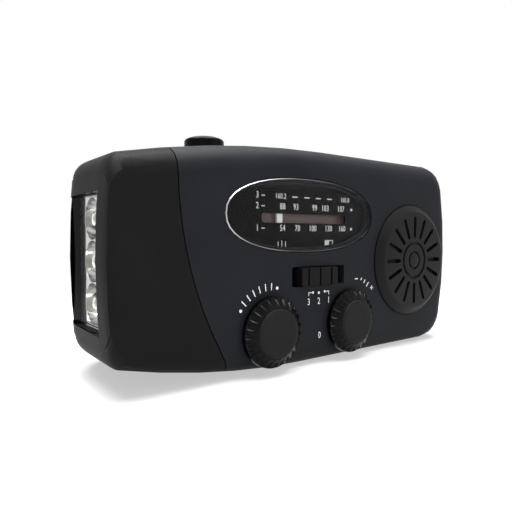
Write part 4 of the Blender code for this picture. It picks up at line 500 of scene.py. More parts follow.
CASING = Moulded("matte_charcoal_casing", "casing_plastic", (0.009, 0.0103, 0.0124), 0.55, specular=0.06)
CAP = Moulded("matte_black_cap", "cap_plastic", (0.0084, 0.008, 0.0084), 0.46, specular=0.026)
KNOB_SATIN = Moulded(
    "satin_grey_knob_face", "knob_plastic", (0.0086, 0.0084, 0.0081), 0.55, grain=7000.0, specular=0.07
)
KNOB_GLOSS = Moulded(
    "glossy_black_flutes", "knob_plastic", (0.0014, 0.0014, 0.0014), 0.14, grain_strength=0.02, specular=0.08
)
CONTROL = Moulded("satin_black_control", "knob_plastic", (0.0045, 0.0045, 0.0045), 0.3, specular=0.07)
GLOSS_BLACK = Moulded(
    "glossy_black_button", "glossy_plastic", (0.0016, 0.0016, 0.0016), 0.16, grain_strength=0.03, specular=0.05
)
# The torch recess's own black plastic, darker than the cap and with its reflection all but taken away: painted shade
# in the recess.
RECESS_BLACK_PAINTED_SHADE = Moulded(
    "recess_black_painted_shade", "cap_plastic", (0.0012, 0.0012, 0.0012), 0.16, grain_strength=0.03, specular=0.003
)
GRILLE_SATIN = Moulded("satin_black_grille", "casing_plastic", (0.0068, 0.0065, 0.0065), 0.42, specular=0.08)
PRINT_WHITE = Moulded("white_print", "white_plastic", (0.62, 0.63, 0.63), 0.5, grain_strength=0.1, cloud_tint=0.05)
POINTER_WHITE = Moulded("white_pointer_plastic", "white_plastic", (0.74, 0.74, 0.73), 0.4, cloud_tint=0.04)
POINTER_BAR = Moulded("brownish_slot_bar", "red_bar", (0.105, 0.062, 0.058), 0.45, cloud_tint=0.1)
DIAL_BLACK = Moulded(
    "printed_black_dial",
    "dial_print",
    (0.003, 0.0028, 0.0028),
    0.4,
    grain_strength=0.08,
    cloud_tint=0.1,
    specular=0.04,
)
GEAR_BLACK = Moulded("black_gear_plastic", "gear_plastic", (0.016, 0.016, 0.0165), 0.42, cloud_tint=0.05)
GREY_PLASTIC = Moulded("grey_moulded_plastic", "grey_plastic", (0.12, 0.12, 0.125), 0.45)
PAPER = Moulded("black_cone_paper", "cone_paper", (0.016, 0.0155, 0.015), 0.85, grain=2600.0, grain_strength=0.6)
CLOTH = Moulded("black_speaker_cloth", "cone_paper", (0.004, 0.004, 0.004), 0.9, grain=9000.0, grain_strength=0.8)
CELL_SLEEVE = Moulded(
    "green_cell_sleeve", "cell_wrap", (0.03, 0.18, 0.07), 0.25, grain_strength=0.05, coat=0.3, cloud_tint=0.08
)
RUBBER = Moulded("matte_rubber_cover", "cover_rubber", (0.009, 0.009, 0.0092), 0.75, grain=3800.0, specular=0.05)
SINTERED = Moulded("sintered_ferrite", "ferrite", (0.04, 0.038, 0.038), 0.6, grain=4200.0, grain_strength=0.6)
STEEL = Metal("plated_steel_surface", "plated_steel", (0.5, 0.5, 0.51), 0.3)
DARK_STEEL = Metal("blackened_steel_surface", "plated_steel", (0.02, 0.02, 0.021), 0.5)
CHROME = Metal("bright_chrome_tube", "chrome_plate", (0.3, 0.3, 0.31), 0.2, scratch_strength=0.05)
MIRROR = Metal("mirror_reflector", "silver_coating", (0.62, 0.61, 0.6), 0.14, scratch=500.0, scratch_strength=0.05)
COPPER = Metal("lacquered_copper_wire", "copper_wire", (0.6, 0.26, 0.1), 0.28, scratch=3000.0)
# A painted highlight: the bright metal of the ring round the dial lens stands for the light on the lens's bevelled
# edge.
LENS_BEVEL_PAINTED_HIGHLIGHT = Metal("dial_lens_painted_bevel_highlight", "clear_plastic", (0.42, 0.42, 0.42), 0.32, scratch_strength=0.05)
CLEAR = Clear("clear_lens_plastic", "clear_plastic", (0.97, 0.98, 0.98), index=1.12)
TORCH_CLEAR = Clear("clear_torch_window", "clear_plastic", (0.985, 0.985, 0.985), roughness=0.015, index=1.05)
LAMP = Clear("clear_lamp_epoxy", "lamp_plastic", (0.95, 0.97, 0.9), roughness=0.02, index=1.53)
BOARD = CircuitBoard("green_solder_mask", "board_laminate", (0.012, 0.085, 0.035), (0.03, 0.17, 0.07))
SILICON = SolarCells("blue_black_silicon", "solar_cell", (0.004, 0.006, 0.017), (0.1, 0.104, 0.115))

Finish = Moulded | Metal | Clear | CircuitBoard | SolarCells


class Paintbox:
    """Makes each finish's material once."""

    def __init__(self) -> None:
        """Starts with no materials made."""
        self.made: dict[str, bpy.types.Material] = {}

    def material(self, finish: Finish) -> bpy.types.Material:
        """The finish's material, made when it is first asked for.

        Args:
            finish: The finish.

        Returns:
            Its material.
        """
        if finish.name not in self.made:
            self.made[finish.name] = finish.material()
        return self.made[finish.name]


PAINTBOX = Paintbox()


class Shape:
    """A mesh in the making, in the frame's metres, shaped with bmesh operators."""

    def __init__(self) -> None:
        """Starts an empty shape."""
        self.mesh = bmesh.new()

    @classmethod
    def copied(cls, node: str) -> "Shape":
        """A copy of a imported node, its loose triangles merged and its flat faces joined up.

        Args:
            node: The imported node's name.

        Returns:
            The new shape.
        """
        shape = cls()
        shape.mesh.from_mesh(bpy.data.objects[node].data)
        bmesh.ops.remove_doubles(shape.mesh, verts=shape.mesh.verts[:], dist=MERGE_DISTANCE)
        bmesh.ops.dissolve_limit(
            shape.mesh, angle_limit=FLAT_ANGLE, verts=shape.mesh.verts[:], edges=shape.mesh.edges[:]
        )
        return shape

    @classmethod
    def turned(cls, profile: Sequence[Point], centre: Point, axis: Axis, segments: int = FINE_SEGMENTS) -> "Shape":
        """A solid of revolution.

        Args:
            profile: Radius and place along the axis of each point, from one end's centre to the other's.
            centre: Where the profile's own zero lies.
            axis: The axis that it turns about.
            segments: Steps in the full turn.

        Returns:
            The new shape, closed at its poles.
        """
        side = Axis.X.value if axis is not Axis.X else Axis.Z.value
        shape = cls()
        middle = Vector(centre)
        verts = [shape.mesh.verts.new(middle + side * radius + axis.value * along) for radius, along in profile]
        edges = [shape.mesh.edges.new(pair) for pair in zip(verts, verts[1:])]
        bmesh.ops.spin(
            shape.mesh,
            geom=verts + edges,
            cent=middle,
            axis=axis.value,
            angle=FULL_TURN,
            steps=segments,
            use_merge=True,
        )
        shape.weld()
        return shape

    @classmethod
    def block(cls, low: Point, high: Point) -> "Shape":
        """A box between two corners.

        Args:
            low: Its lowest corner.
            high: Its highest corner.

        Returns:
            The new shape.
        """
        shape = cls()
        low, high = Vector(low), Vector(high)
        bmesh.ops.create_cube(shape.mesh, size=1)
        bmesh.ops.scale(shape.mesh, vec=high - low, verts=shape.mesh.verts)
        bmesh.ops.translate(shape.mesh, vec=(low + high) / 2, verts=shape.mesh.verts)
        return shape

    @classmethod
    def outlined(cls, points: Sequence[Point], depth: Vector) -> "Shape":
        """A prism from an outline.

        Args:
            points: The outline's corners in order.
            depth: How far and which way it is extruded.

        Returns:
            The new shape.
        """
        shape = cls()
        face = shape.mesh.faces.new([shape.mesh.verts.new(point) for point in points])
        made = bmesh.ops.extrude_face_region(shape.mesh, geom=[face])["geom"]
        moved = [item for item in made if isinstance(item, bmesh.types.BMVert)]
        bmesh.ops.translate(shape.mesh, vec=depth, verts=moved)
        shape.face_out()
        return shape

    def face_out(self) -> "Shape":
        """Turns every face outwards."""
        bmesh.ops.recalc_face_normals(self.mesh, faces=self.mesh.faces[:])
        return self

    def weld(self) -> "Shape":
        """Merges doubled vertices, then turns every face outwards."""
        bmesh.ops.remove_doubles(self.mesh, verts=self.mesh.verts[:], dist=MERGE_DISTANCE)
        return self.face_out()

    def moved(self, matrix: Matrix) -> "Shape":
        """Moves the whole shape by a matrix.

        Args:
            matrix: The move.

        Returns:
            This shape.
        """
        bmesh.ops.transform(self.mesh, matrix=matrix, verts=self.mesh.verts[:])
        return self

    def rounded(self, width: float, steps: int = EDGE_STEPS, sharper: float = SHARP_ANGLE) -> "Shape":
        """Bevels the shape's sharp edges.

        Args:
            width: The bevel's width.
            steps: Its segments.
            sharper: The least angle of the edges that it takes.

        Returns:
            This shape.
        """
        edges = [edge for edge in self.mesh.edges if edge.is_manifold and edge.calc_face_angle(0) > sharper]
        bmesh.ops.bevel(
            self.mesh,
            geom=edges,
            offset=width,
            offset_type="OFFSET",
            segments=steps,
            profile=0.5,
            affect="EDGES",
            clamp_overlap=True,
            material=-1,
        )
        return self

    def added(self, other: "Shape") -> "Shape":
        """Takes in another shape's faces as they are.

        Args:
            other: The other shape, which is used up.

        Returns:
            This shape.
        """
        data = bpy.data.meshes.new("joined")
        other.mesh.to_mesh(data)
        other.mesh.free()
        self.mesh.from_mesh(data)
        bpy.data.meshes.remove(data)
        return self

    def repeated(self, count: int, centre: Point, axis: Axis) -> "Shape":
        """Copies the shape all round an axis.

        Args:
            count: How many there are in all.
            centre: A point of the axis.
            axis: The axis.

        Returns:
            This shape, with all the copies.
        """
        bmesh.ops.spin(
            self.mesh,
            geom=self.mesh.verts[:] + self.mesh.edges[:] + self.mesh.faces[:],
            cent=Vector(centre),
            axis=axis.value,
            angle=FULL_TURN,
            steps=count,
            use_duplicate=True,
        )
        return self.weld()

    def cut(self, *others: "Shape") -> "Shape":
        """Cuts other shapes out of this one.

        Args:
            *others: The cutters, which are used up.

        Returns:
            This shape.
        """
        return self.combined("DIFFERENCE", others)

    def kept(self, *others: "Shape") -> "Shape":
        """Keeps only what lies inside the other shapes too.

        Args:
            *others: The other shapes, which are used up.

        Returns:
            This shape.
        """
        return self.combined("INTERSECT", others)

    def combined(self, operation: str, others: Iterable["Shape"]) -> "Shape":
        """Applies one exact boolean after another.

        Args:
            operation: DIFFERENCE or INTERSECT.
            others: The shapes to combine with, which are used up.

        Returns:
            This shape.
        """
        base = self.loose("base")
        helpers = [other.loose("helper") for other in others]
        for helper in helpers:
            modifier = base.modifiers.new("combined", "BOOLEAN")
            modifier.operation = operation
            modifier.solver = "EXACT"
            modifier.object = helper
        bpy.context.view_layer.update()
        result = base.evaluated_get(bpy.context.evaluated_depsgraph_get())
        self.mesh = bmesh.new()
        self.mesh.from_mesh(result.data)
        for item in (base, *helpers):
            data = item.data
            bpy.data.objects.remove(item)
            bpy.data.meshes.remove(data)
        bmesh.ops.remove_doubles(self.mesh, verts=self.mesh.verts[:], dist=MERGE_DISTANCE)
        return self

    def loose(self, name: str) -> bpy.types.Object:
        """Puts the shape in the scene as an object, and frees it.

        Args:
            name: The object's name.

        Returns:
            The object.
        """
        data = bpy.data.meshes.new(name)
        self.mesh.to_mesh(data)
        self.mesh.free()
        item = bpy.data.objects.new(name, data)
        bpy.context.scene.collection.objects.link(item)
        return item

    def piece(
        self,
        name: str,
        body: Body,
        finish: Finish,
        replaces: Sequence[str] = (),
        weighted: bool = True,
        crease: float = SHARP_ANGLE,
    ) -> bpy.types.Object:
        """Makes the shape a finished piece of the object.

        Args:
            name: The piece's name.
            body: The body that it rides on.
            finish: Its finish.
            replaces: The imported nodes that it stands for.
            weighted: Whether large faces keep flat shading.
            crease: The least angle of the edges that stay sharp.

        Returns:
            The piece.
        """
        item = self.loose(name)
        item.data.materials.clear()
        item.data.materials.append(PAINTBOX.material(finish))
        item.data.polygons.foreach_set("material_index", [0] * len(item.data.polygons))
        item.data.shade_smooth()
        item.data.set_sharp_from_angle(angle=crease)
        if weighted:
            modifier = item.modifiers.new("flat faces", "WEIGHTED_NORMAL")
            modifier.keep_sharp = True
            modifier.mode = "FACE_AREA_WITH_ANGLE"
        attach(item, body.value)
        if replaces:
            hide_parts(*replaces)
        LOG.info("%s: %d faces, on %s", name, len(item.data.polygons), body.value)
        return item


def refined(node: str, body: Body, finish: Finish, edge: float = EDGE_WIDTH) -> None:
    """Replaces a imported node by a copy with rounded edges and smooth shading.

    Args:
        node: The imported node.
        body: The body that it rides on.
        finish: Its finish.
        edge: The width of its rounded edges, or 0 to leave them sharp.
    """
    shape = Shape.copied(node)
    if edge:
        shape.rounded(edge)
    shape.piece(f"{node}_finished", body, finish, (node,))


def middle_of(node: str) -> Vector:
    """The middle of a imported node's box."""
    low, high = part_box(node)
    return (low + high) / 2


def front_face() -> float:
    """The y of the casing's front face."""
    low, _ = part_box("front_shell")
    return low.y


def quarter(steps: int, first: int = 0) -> list[float]:
    """Even angles up to a quarter turn.

    Args:
        steps: Steps in the quarter turn.
        first: The step to start at.

    Returns:
        The angles in radians.
    """
    return [step / steps * QUARTER_TURN for step in range(first, steps + 1)]


@dataclass
class FluteKnob:
    """A round control knob: a matte face over a skirt of deep glossy flutes."""

    node: str
    body: Body
    flutes: int = 24
    flute_radius: float = 0.00088
    flute_depth: float = 0.00062
    flute_reach: float = 3.0  # length of the flutes' cutters, in slopes of the skirt
    face_radius: float = 0.0064
    face_height: float = 0.0009
    face_round: float = 0.0006
    round_steps: int = 5
    wall_height: float = 0.0013  # upright foot of the skirt, below its slope
    top_width: float = 0.0007
    base_height: float = 0.0012  # where the flutes stop
    dish: float = 0.00012
    edge: float = 0.00012
    edge_angle: float = math.radians(40)

    def __post_init__(self) -> None:
        """Reads the knob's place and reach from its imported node."""
        low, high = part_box(self.node)
        middle = middle_of(self.node)
        self.radius = (high.x - low.x) / 2
        self.centre = Vector((middle.x, high.y, middle.z))
        self.height = high.y - low.y

    def skirt(self) -> Shape:
        """The fluted skirt.

        Returns:
            Its shape.
        """
        shoulder = self.face_radius + self.top_width
        top = self.height - self.face_height / 2
        profile = [
            (0, -top),
            (shoulder - self.face_round, -top),
            (shoulder, -top + self.face_round / 2),
            (self.radius - self.face_round, -self.wall_height - self.face_round / 2),
            (self.radius, -self.wall_height),
            (self.radius, 0),
            (0, 0),
        ]
        skirt = Shape.turned(profile, self.centre, Axis.Y)
        return skirt.cut(self.flute_cutters(shoulder)).rounded(self.edge, EDGE_STEPS, self.edge_angle)

    def flute_cutters(self, shoulder: float) -> Shape:
        """The round bars that cut the flutes, which lean with the skirt and stop above its base.

        Args:
            shoulder: The radius of the skirt's top.

        Returns:
            Their shape.
        """
        slope = Vector((self.radius - shoulder, self.height - self.wall_height))
        lean = math.atan2(*slope)
        out = self.flute_radius - self.flute_depth
        across = (self.radius + shoulder) / 2 + out * math.cos(lean)
        up = (self.height + self.wall_height) / 2 + out * math.sin(lean)
        cutter = Shape()
        bmesh.ops.create_cone(
            cutter.mesh,
            cap_ends=True,
            segments=FLUTE_SEGMENTS,
            radius1=self.flute_radius,
            radius2=self.flute_radius,
            depth=self.flute_reach * slope.length,
        )
        cutter.moved(Matrix.Rotation(QUARTER_TURN, 4, "X") @ Matrix.Rotation(-lean, 4, "Y"))
        cutter.moved(Matrix.Translation(self.centre + Vector((across, -up, 0))))
        cutter.repeated(self.flutes, self.centre, Axis.Y)
        reach = 2 * Vector((self.radius, self.height, self.radius))
        above_base = Vector((reach.x, -self.base_height, reach.z))
        return cutter.kept(Shape.block(self.centre - reach, self.centre + above_base))

    def face(self) -> Shape:
        """The matte face, set in the skirt's top.

        Returns:
            Its shape.
        """
        top = -self.height
        radius = self.face_radius
        profile = [
            (0, top + self.dish),
            (radius / 2, top + self.dish / 2),
            (radius - 2 * self.face_round, top),
        ]
        for angle in quarter(self.round_steps, 1):
            inward, down = 1 - math.sin(angle), 1 - math.cos(angle)
            profile.append((radius - self.face_round * inward, top + self.face_round * down))
        profile += [(radius, top + self.face_height), (0, top + self.face_height)]
        return Shape.turned(profile, self.centre, Axis.Y)

    def build(self) -> None:
        """Builds the skirt and the face."""
        self.skirt().piece(f"{self.node}_skirt", self.body, KNOB_GLOSS, (self.node,))
        self.face().piece(f"{self.node}_face", self.body, KNOB_SATIN)


@dataclass
class PushButton:
    """The glossy domed button in the top."""

    skirt_radius: float = 0.00565
    dome: float = 0.0006
    # Shares of the radius and of the dome's drop.
    dome_points: tuple[tuple[float, float], ...] = ((0.0, 0.0), (0.4, 0.16), (0.7, 0.52))
    edge: float = 0.0011
    edge_flatness: float = 0.9
    edge_steps: int = 6
    flange: float = 0.0010
    flange_thickness: float = 0.0012

    def build(self) -> None:
        """Builds the button."""
        low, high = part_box("torch_button")
        centre = Vector((middle_of("torch_button").x, 0, 0))
        rim = high.z - self.dome
        profile = [(self.skirt_radius * out, high.z - self.dome * down) for out, down in self.dome_points]
        for angle in quarter(self.edge_steps):
            radius = self.skirt_radius - self.edge * (1 - math.sin(angle))
            profile.append((radius, rim - self.edge * (1 - math.cos(angle)) * self.edge_flatness))
        profile += [
            (self.skirt_radius, low.z + self.flange_thickness),
            (self.skirt_radius + self.flange, low.z + self.flange_thickness),
            (self.skirt_radius + self.flange, low.z),
            (0, low.z),
        ]
        dome = Shape.turned(profile, centre, Axis.Z)
        dome.piece("torch_button_dome", Body.TORCH_BUTTON, GLOSS_BLACK, ("torch_button",))


class Lettering:
    """Plain printed figures, ticks and lines on a face that looks towards -Y."""

    SPACING = 1.1
    SQUEEZE = 0.78
    # A figure's height as a share of the font's size.
    FIGURE_SHARE = 0.69
    CURVE_STEPS = 3

    def __init__(self, name: str, face_y: float) -> None:
        """Starts a sheet of prints.

        Args:
            name: The piece's name.
            face_y: The face that the prints lie on.
        """
        self.name, self.face_y = name, face_y
        self.shape = Shape()

    def text(self, words: str, x: float, z: float, height: float, squeeze: float = SQUEEZE) -> None:
        """Prints plain characters, centred on a place.

        Args:
            words: The characters.
            x: The place's x.
            z: The place's z.
            height: The characters' height.
            squeeze: Their width as a share of the font's own.
        """
        curve = bpy.data.curves.new("characters", "FONT")
        curve.body = words
        curve.align_x = "CENTER"
        curve.align_y = "CENTER"
        curve.resolution_u = self.CURVE_STEPS
        curve.space_character = self.SPACING
        item = bpy.data.objects.new("characters", curve)
        bpy.context.scene.collection.objects.link(item)
        bpy.context.view_layer.update()
        data = bpy.data.meshes.new_from_object(item.evaluated_get(bpy.context.evaluated_depsgraph_get()))
        letters = Shape()
        letters.mesh.from_mesh(data)
        bpy.data.objects.remove(item)
        bpy.data.curves.remove(curve)
        bpy.data.meshes.remove(data)
        size = height / self.FIGURE_SHARE
        upright = Matrix.Rotation(QUARTER_TURN, 4, "X") @ Matrix.Diagonal((size * squeeze, size, size, 1))
        letters.moved(Matrix.Translation((x, self.face_y, z)) @ upright)
        self.lift(letters)

    def lift(self, flat: Shape) -> None:
        """Gives flat faces the print's thickness, and adds them to the sheet.

        Args:
            flat: The flat faces, in the face's plane.
        """
        bmesh.ops.remove_doubles(flat.mesh, verts=flat.mesh.verts[:], dist=MERGE_DISTANCE / 4)
        made = bmesh.ops.extrude_face_region(flat.mesh, geom=flat.mesh.faces[:])["geom"]
        front = [item for item in made if isinstance(item, bmesh.types.BMVert)]
        bmesh.ops.translate(flat.mesh, vec=Vector((0, -PRINT_THICKNESS, 0)), verts=front)
        self.shape.added(flat.face_out())

    def bar(self, x: float, z: float, length: float, width: float, turn: float = 0.0) -> None:
        """Prints a straight line, centred on a place.

        Args:
            x: The place's x.
            z: The place's z.
            length: Its length along X before the turn.
            width: Its width along Z before the turn.
            turn: How far it is turned, in radians.
        """
        half = Vector((length / 2, 0, width / 2))
        line = Shape.block(-half, half + Vector((0, PRINT_THICKNESS, 0)))
        line.moved(Matrix.Translation((x, self.face_y - PRINT_THICKNESS, z)) @ Matrix.Rotation(turn, 4, "Y"))
        self.shape.added(line)

    def dot(self, x: float, z: float, radius: float) -> None:
        """Prints a round dot.

        Args:
            x: Its centre's x.
            z: Its centre's z.
            radius: Its radius.
        """
        profile = [(0, -PRINT_THICKNESS), (radius, -PRINT_THICKNESS), (radius, 0), (0, 0)]
        self.shape.added(Shape.turned(profile, (x, self.face_y, z), Axis.Y, DOT_SEGMENTS))

    def done(self) -> None:
        """Makes the sheet a piece."""
        self.shape.piece(self.name, Body.CASING, PRINT_WHITE, weighted=False)


@dataclass
class Dial:
    """The dial: its lens, a thin bright metal ring round the lens as a painted highlight of its bevelled edge, its
    printed scale, its slot and its pointer.
    """

    lens_edge: float = 0.00045
    lens_edge_steps: int = 4
    # The rim's outside and inside, as scales of the lens.
    rim_outer: tuple[float, float, float] = (1.004, 1.0, 1.01)
    rim_inner: tuple[float, float, float] = (0.989, 3.0, 0.972)
    rim_lift: float = 0.00002
    rim_depth: float = 0.00028
    overrun: float = 0.01
    row_heights: tuple[float, ...] = (0.04694, 0.04418, 0.03837)
    row_starts: float = -0.0228
    figure_height: float = 0.00165
    fine_figure_height: float = 0.0014
    row_squeeze: float = 0.76
    band_figures: tuple[str, ...] = ("3", "2", "1")
    band_dash_gap: float = 0.0019
    band_dash: tuple[float, float] = (0.0011, 0.00022)
    top_row: tuple[tuple[str, float], ...] = (("160.2", -0.0149), ("160.8", 0.0101))
    dash_places: tuple[float, ...] = (-0.0098, -0.0053, -0.0009, 0.0036)
    dash: tuple[float, float] = (0.0019, 0.00028)
    middle_row: tuple[tuple[str, float], ...] = (
        ("88", -0.0142),
        ("93", -0.0094),
        ("99", -0.0023),
        ("103", 0.0019),
        ("107", 0.0084),
    )
    lower_row: tuple[tuple[str, float], ...] = (
        ("54", -0.0142),
        ("70", -0.0088),
        ("100", -0.003),
        ("130", 0.0033),
        ("160", 0.009),
    )
    dot_x: float = 0.013
    dot_radius: float = 0.0004
    mark_z: float = 0.0341
    # The sign of three bars.
    bars_x: float = -0.01446
    bars_pitch: float = 0.0013
    bars_width: float = 0.0002
    bars_heights: tuple[float, ...] = (0.0014, 0.0019, 0.0014)
    # The sign of a part-filled rectangle.
    cell_x: float = 0.0035
    cell_size: tuple[float, float] = (0.0032, 0.002)
    cell_line: float = 0.00025
    cell_half_height: float = 0.0009
    cell_end: float = 0.0015
    cell_fill: float = 0.0017
    cell_fill_shift: float = 0.0008

    def lens(self) -> None:
        """The clear lens, its rim rounded."""
        shape = Shape.copied("dial_lens").rounded(self.lens_edge, self.lens_edge_steps)
        shape.piece("dial_lens_clear", Body.CASING, CLEAR, ("dial_lens",))

    def scaled_lens(self, scale: Point) -> Shape:
        """The lens, made larger or smaller about its middle.

        Args:
            scale: The scale along each axis.

        Returns:
            Its shape.
        """
        middle = middle_of("dial_lens")
        grow = Matrix.Translation(middle) @ Matrix.Diagonal((*scale, 1)) @ Matrix.Translation(-middle)
        return Shape.copied("dial_lens").moved(grow)

    def rim(self) -> None:
        """A thin bright metal ring where the lens meets the casing, a painted highlight that stands for the light
        caught on the lens's bevelled edge.
        """
        low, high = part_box("dial_lens")
        flat_low = Vector((low.x - self.overrun, low.y - self.rim_lift, low.z - self.overrun))
        flat_high = Vector((high.x + self.overrun, low.y + self.rim_depth, high.z + self.overrun))
        rim = self.scaled_lens(self.rim_outer).kept(Shape.block(flat_low, flat_high))
        # The ring is a painted highlight of the lens's bevelled edge, not a part of its own.
        rim.cut(self.scaled_lens(self.rim_inner)).piece("dial_bright_rim", Body.CASING, LENS_BEVEL_PAINTED_HIGHLIGHT)

    def scale(self) -> None:
        """The printed scale on the plate behind the lens."""
        low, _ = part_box("dial_plate")
        sheet = Lettering("dial_scale_print", low.y)
        for figure, z in zip(self.band_figures, self.row_heights):
            sheet.text(figure, self.row_starts, z, self.figure_height)
            sheet.bar(self.row_starts + self.band_dash_gap, z, *self.band_dash)
        top, middle, bottom = self.row_heights
        for figure, x in self.top_row:
            sheet.text(figure, x, top, self.fine_figure_height)
        for x in self.dash_places:
            sheet.bar(x, top, *self.dash)
        for row, z in ((self.middle_row, middle), (self.lower_row, bottom)):
            for figure, x in row:
                sheet.text(figure, x, z, self.figure_height, self.row_squeeze)
            sheet.dot(self.dot_x, z, self.dot_radius)
        self.marks(sheet)
        sheet.done()

    def marks(self, sheet: Lettering) -> None:
        """The small plain signs below the scale: three bars, and a part-filled rectangle.

        Args:
            sheet: The scale's sheet of prints.
        """
        for step, height in zip((-1, 0, 1), self.bars_heights):
            sheet.bar(self.bars_x + step * self.bars_pitch, self.mark_z, self.bars_width, height)
        length, height = self.cell_size
        for way in (1, -1):
            sheet.bar(self.cell_x, self.mark_z + way * self.cell_half_height, length, self.cell_line)
        sheet.bar(self.cell_x + self.cell_end, self.mark_z, self.cell_line, height)
        sheet.bar(self.cell_x - self.cell_fill_shift, self.mark_z, self.cell_fill, height)

    def slot_parts(self) -> None:
        """The bar behind the slot, the pointer in it, and the plate."""
        refined("dial_backing", Body.CASING, POINTER_BAR)
        refined("dial_pointer", Body.POINTER, POINTER_WHITE, FINE_EDGE)
        refined("dial_plate", Body.CASING, DIAL_BLACK, FINE_EDGE)

    def build(self) -> None:
        """Builds the dial."""
        self.lens()
        self.rim()
        self.scale()
        self.slot_parts()


@dataclass
class FrontPrints:
    """The plain white marks printed round the knobs and below the band slider."""

    line_width: float = 0.00026
    figure_height: float = 0.0018
    tuning_radius: float = 0.01145
    tuning_angles: tuple[float, float] = (-57.0, 11.0)
    tuning_dot: float = 0.00042
    tuning_ticks: int = 6
    tick_lift: float = 0.0003
    tick_length: float = 0.0019
    volume_radius: float = 0.0125
    volume_angles: tuple[float, float] = (15.0, 49.0)
    sign_length: float = 0.0013
    plus_lift: float = 0.0012
    # The ticks' lengths, and how they share the arc between the signs.
    growing_ticks: tuple[float, ...] = (0.0008, 0.0012, 0.0016)
    growing_start: float = 1.3
    growing_parts: float = 4.6
    growing_lift: float = 0.0006
    off_place: tuple[float, float] = (-0.00223, 0.00827)
    band_figures: tuple[str, ...] = ("3", "2", "1")
    band_places: tuple[float, ...] = (-0.0065, -0.0026, 0.0013)
    band_z: float = 0.018
    band_marks_z: float = 0.0204
    band_dot: float = 0.0004
    # The hooked marks of the outer bands: widths as a share of the line's, then shifts and sizes.
    hook_width: float = 0.8
    hook_rise: float = 0.0002
    hook_top: tuple[float, float] = (0.0008, 0.0014)
    hook_leg: float = 0.001
    hook_end: tuple[float, float] = (0.0016, 0.00036)

    def around(self, knob: str, radius: float, degrees: float) -> tuple[float, float]:
        """A place on a circle round a knob, its angle counted from straight up towards +X.

        Args:
            knob: The knob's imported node.
            radius: The circle's radius.
            degrees: The angle.

        Returns:
            The place's x and z.
        """
        centre = middle_of(knob)
        angle = math.radians(degrees)
        return centre.x + radius * math.sin(angle), centre.z + radius * math.cos(angle)

    def tuning(self, sheet: Lettering) -> None:
        """The fan of ticks above the tuning knob, with a dot at each end.

        Args:
            sheet: The sheet of prints.
        """
        first, last = self.tuning_angles
        for angle in (first, last):
            sheet.dot(*self.around("tuning_knob", self.tuning_radius, angle), self.tuning_dot)
        step = (last - first) / (self.tuning_ticks + 1)
        for number in range(1, self.tuning_ticks + 1):
            angle = first + number * step
            x, z = self.around("tuning_knob", self.tuning_radius + self.tick_lift, angle)
            sheet.bar(x, z, self.line_width, self.tick_length, math.radians(angle))

    def volume(self, sheet: Lettering) -> None:
        """The growing ticks above the volume knob between a minus and a plus, and its zero.

        Args:
            sheet: The sheet of prints.
        """
        first, last = self.volume_angles
        x, z = self.around("volume_knob", self.volume_radius, first)
        sheet.bar(x, z, self.sign_length, self.line_width)
        x, z = self.around("volume_knob", self.volume_radius + self.plus_lift, last)
        sheet.bar(x, z, self.sign_length, self.line_width)
        sheet.bar(x, z, self.line_width, self.sign_length)
        for number, height in enumerate(self.growing_ticks):
            angle = first + (number + self.growing_start) * (last - first) / self.growing_parts
            x, z = self.around("volume_knob", self.volume_radius + self.growing_lift, angle)
            sheet.bar(x, z, self.line_width, height, math.radians(angle))
        sheet.text("0", *self.off_place, self.figure_height)

    def bands(self, sheet: Lettering) -> None:
        """The three band figures below the slider, and the marks that point from them.

        Args:
            sheet: The sheet of prints.
        """
        for figure, x in zip(self.band_figures, self.band_places):
            sheet.text(figure, x, self.band_z, self.figure_height)
        left, middle, right = self.band_places
        upper, lower = self.band_marks_z + self.hook_rise, self.band_marks_z - self.hook_rise
        width = self.line_width * self.hook_width
        sheet.dot(middle, self.band_marks_z, self.band_dot)
        for place, way in ((left, 1), (right, -1)):
            shift, length = self.hook_top
            sheet.bar(place + way * shift, upper, length, width)
            sheet.bar(place, lower, width, self.hook_leg)
            shift, radius = self.hook_end
            sheet.dot(place + way * shift, upper, radius)

    def build(self) -> None:
        """Builds the front's prints."""
        sheet = Lettering("front_marks_print", front_face())
        self.tuning(sheet)
        self.volume(sheet)
        self.bands(sheet)
        sheet.done()


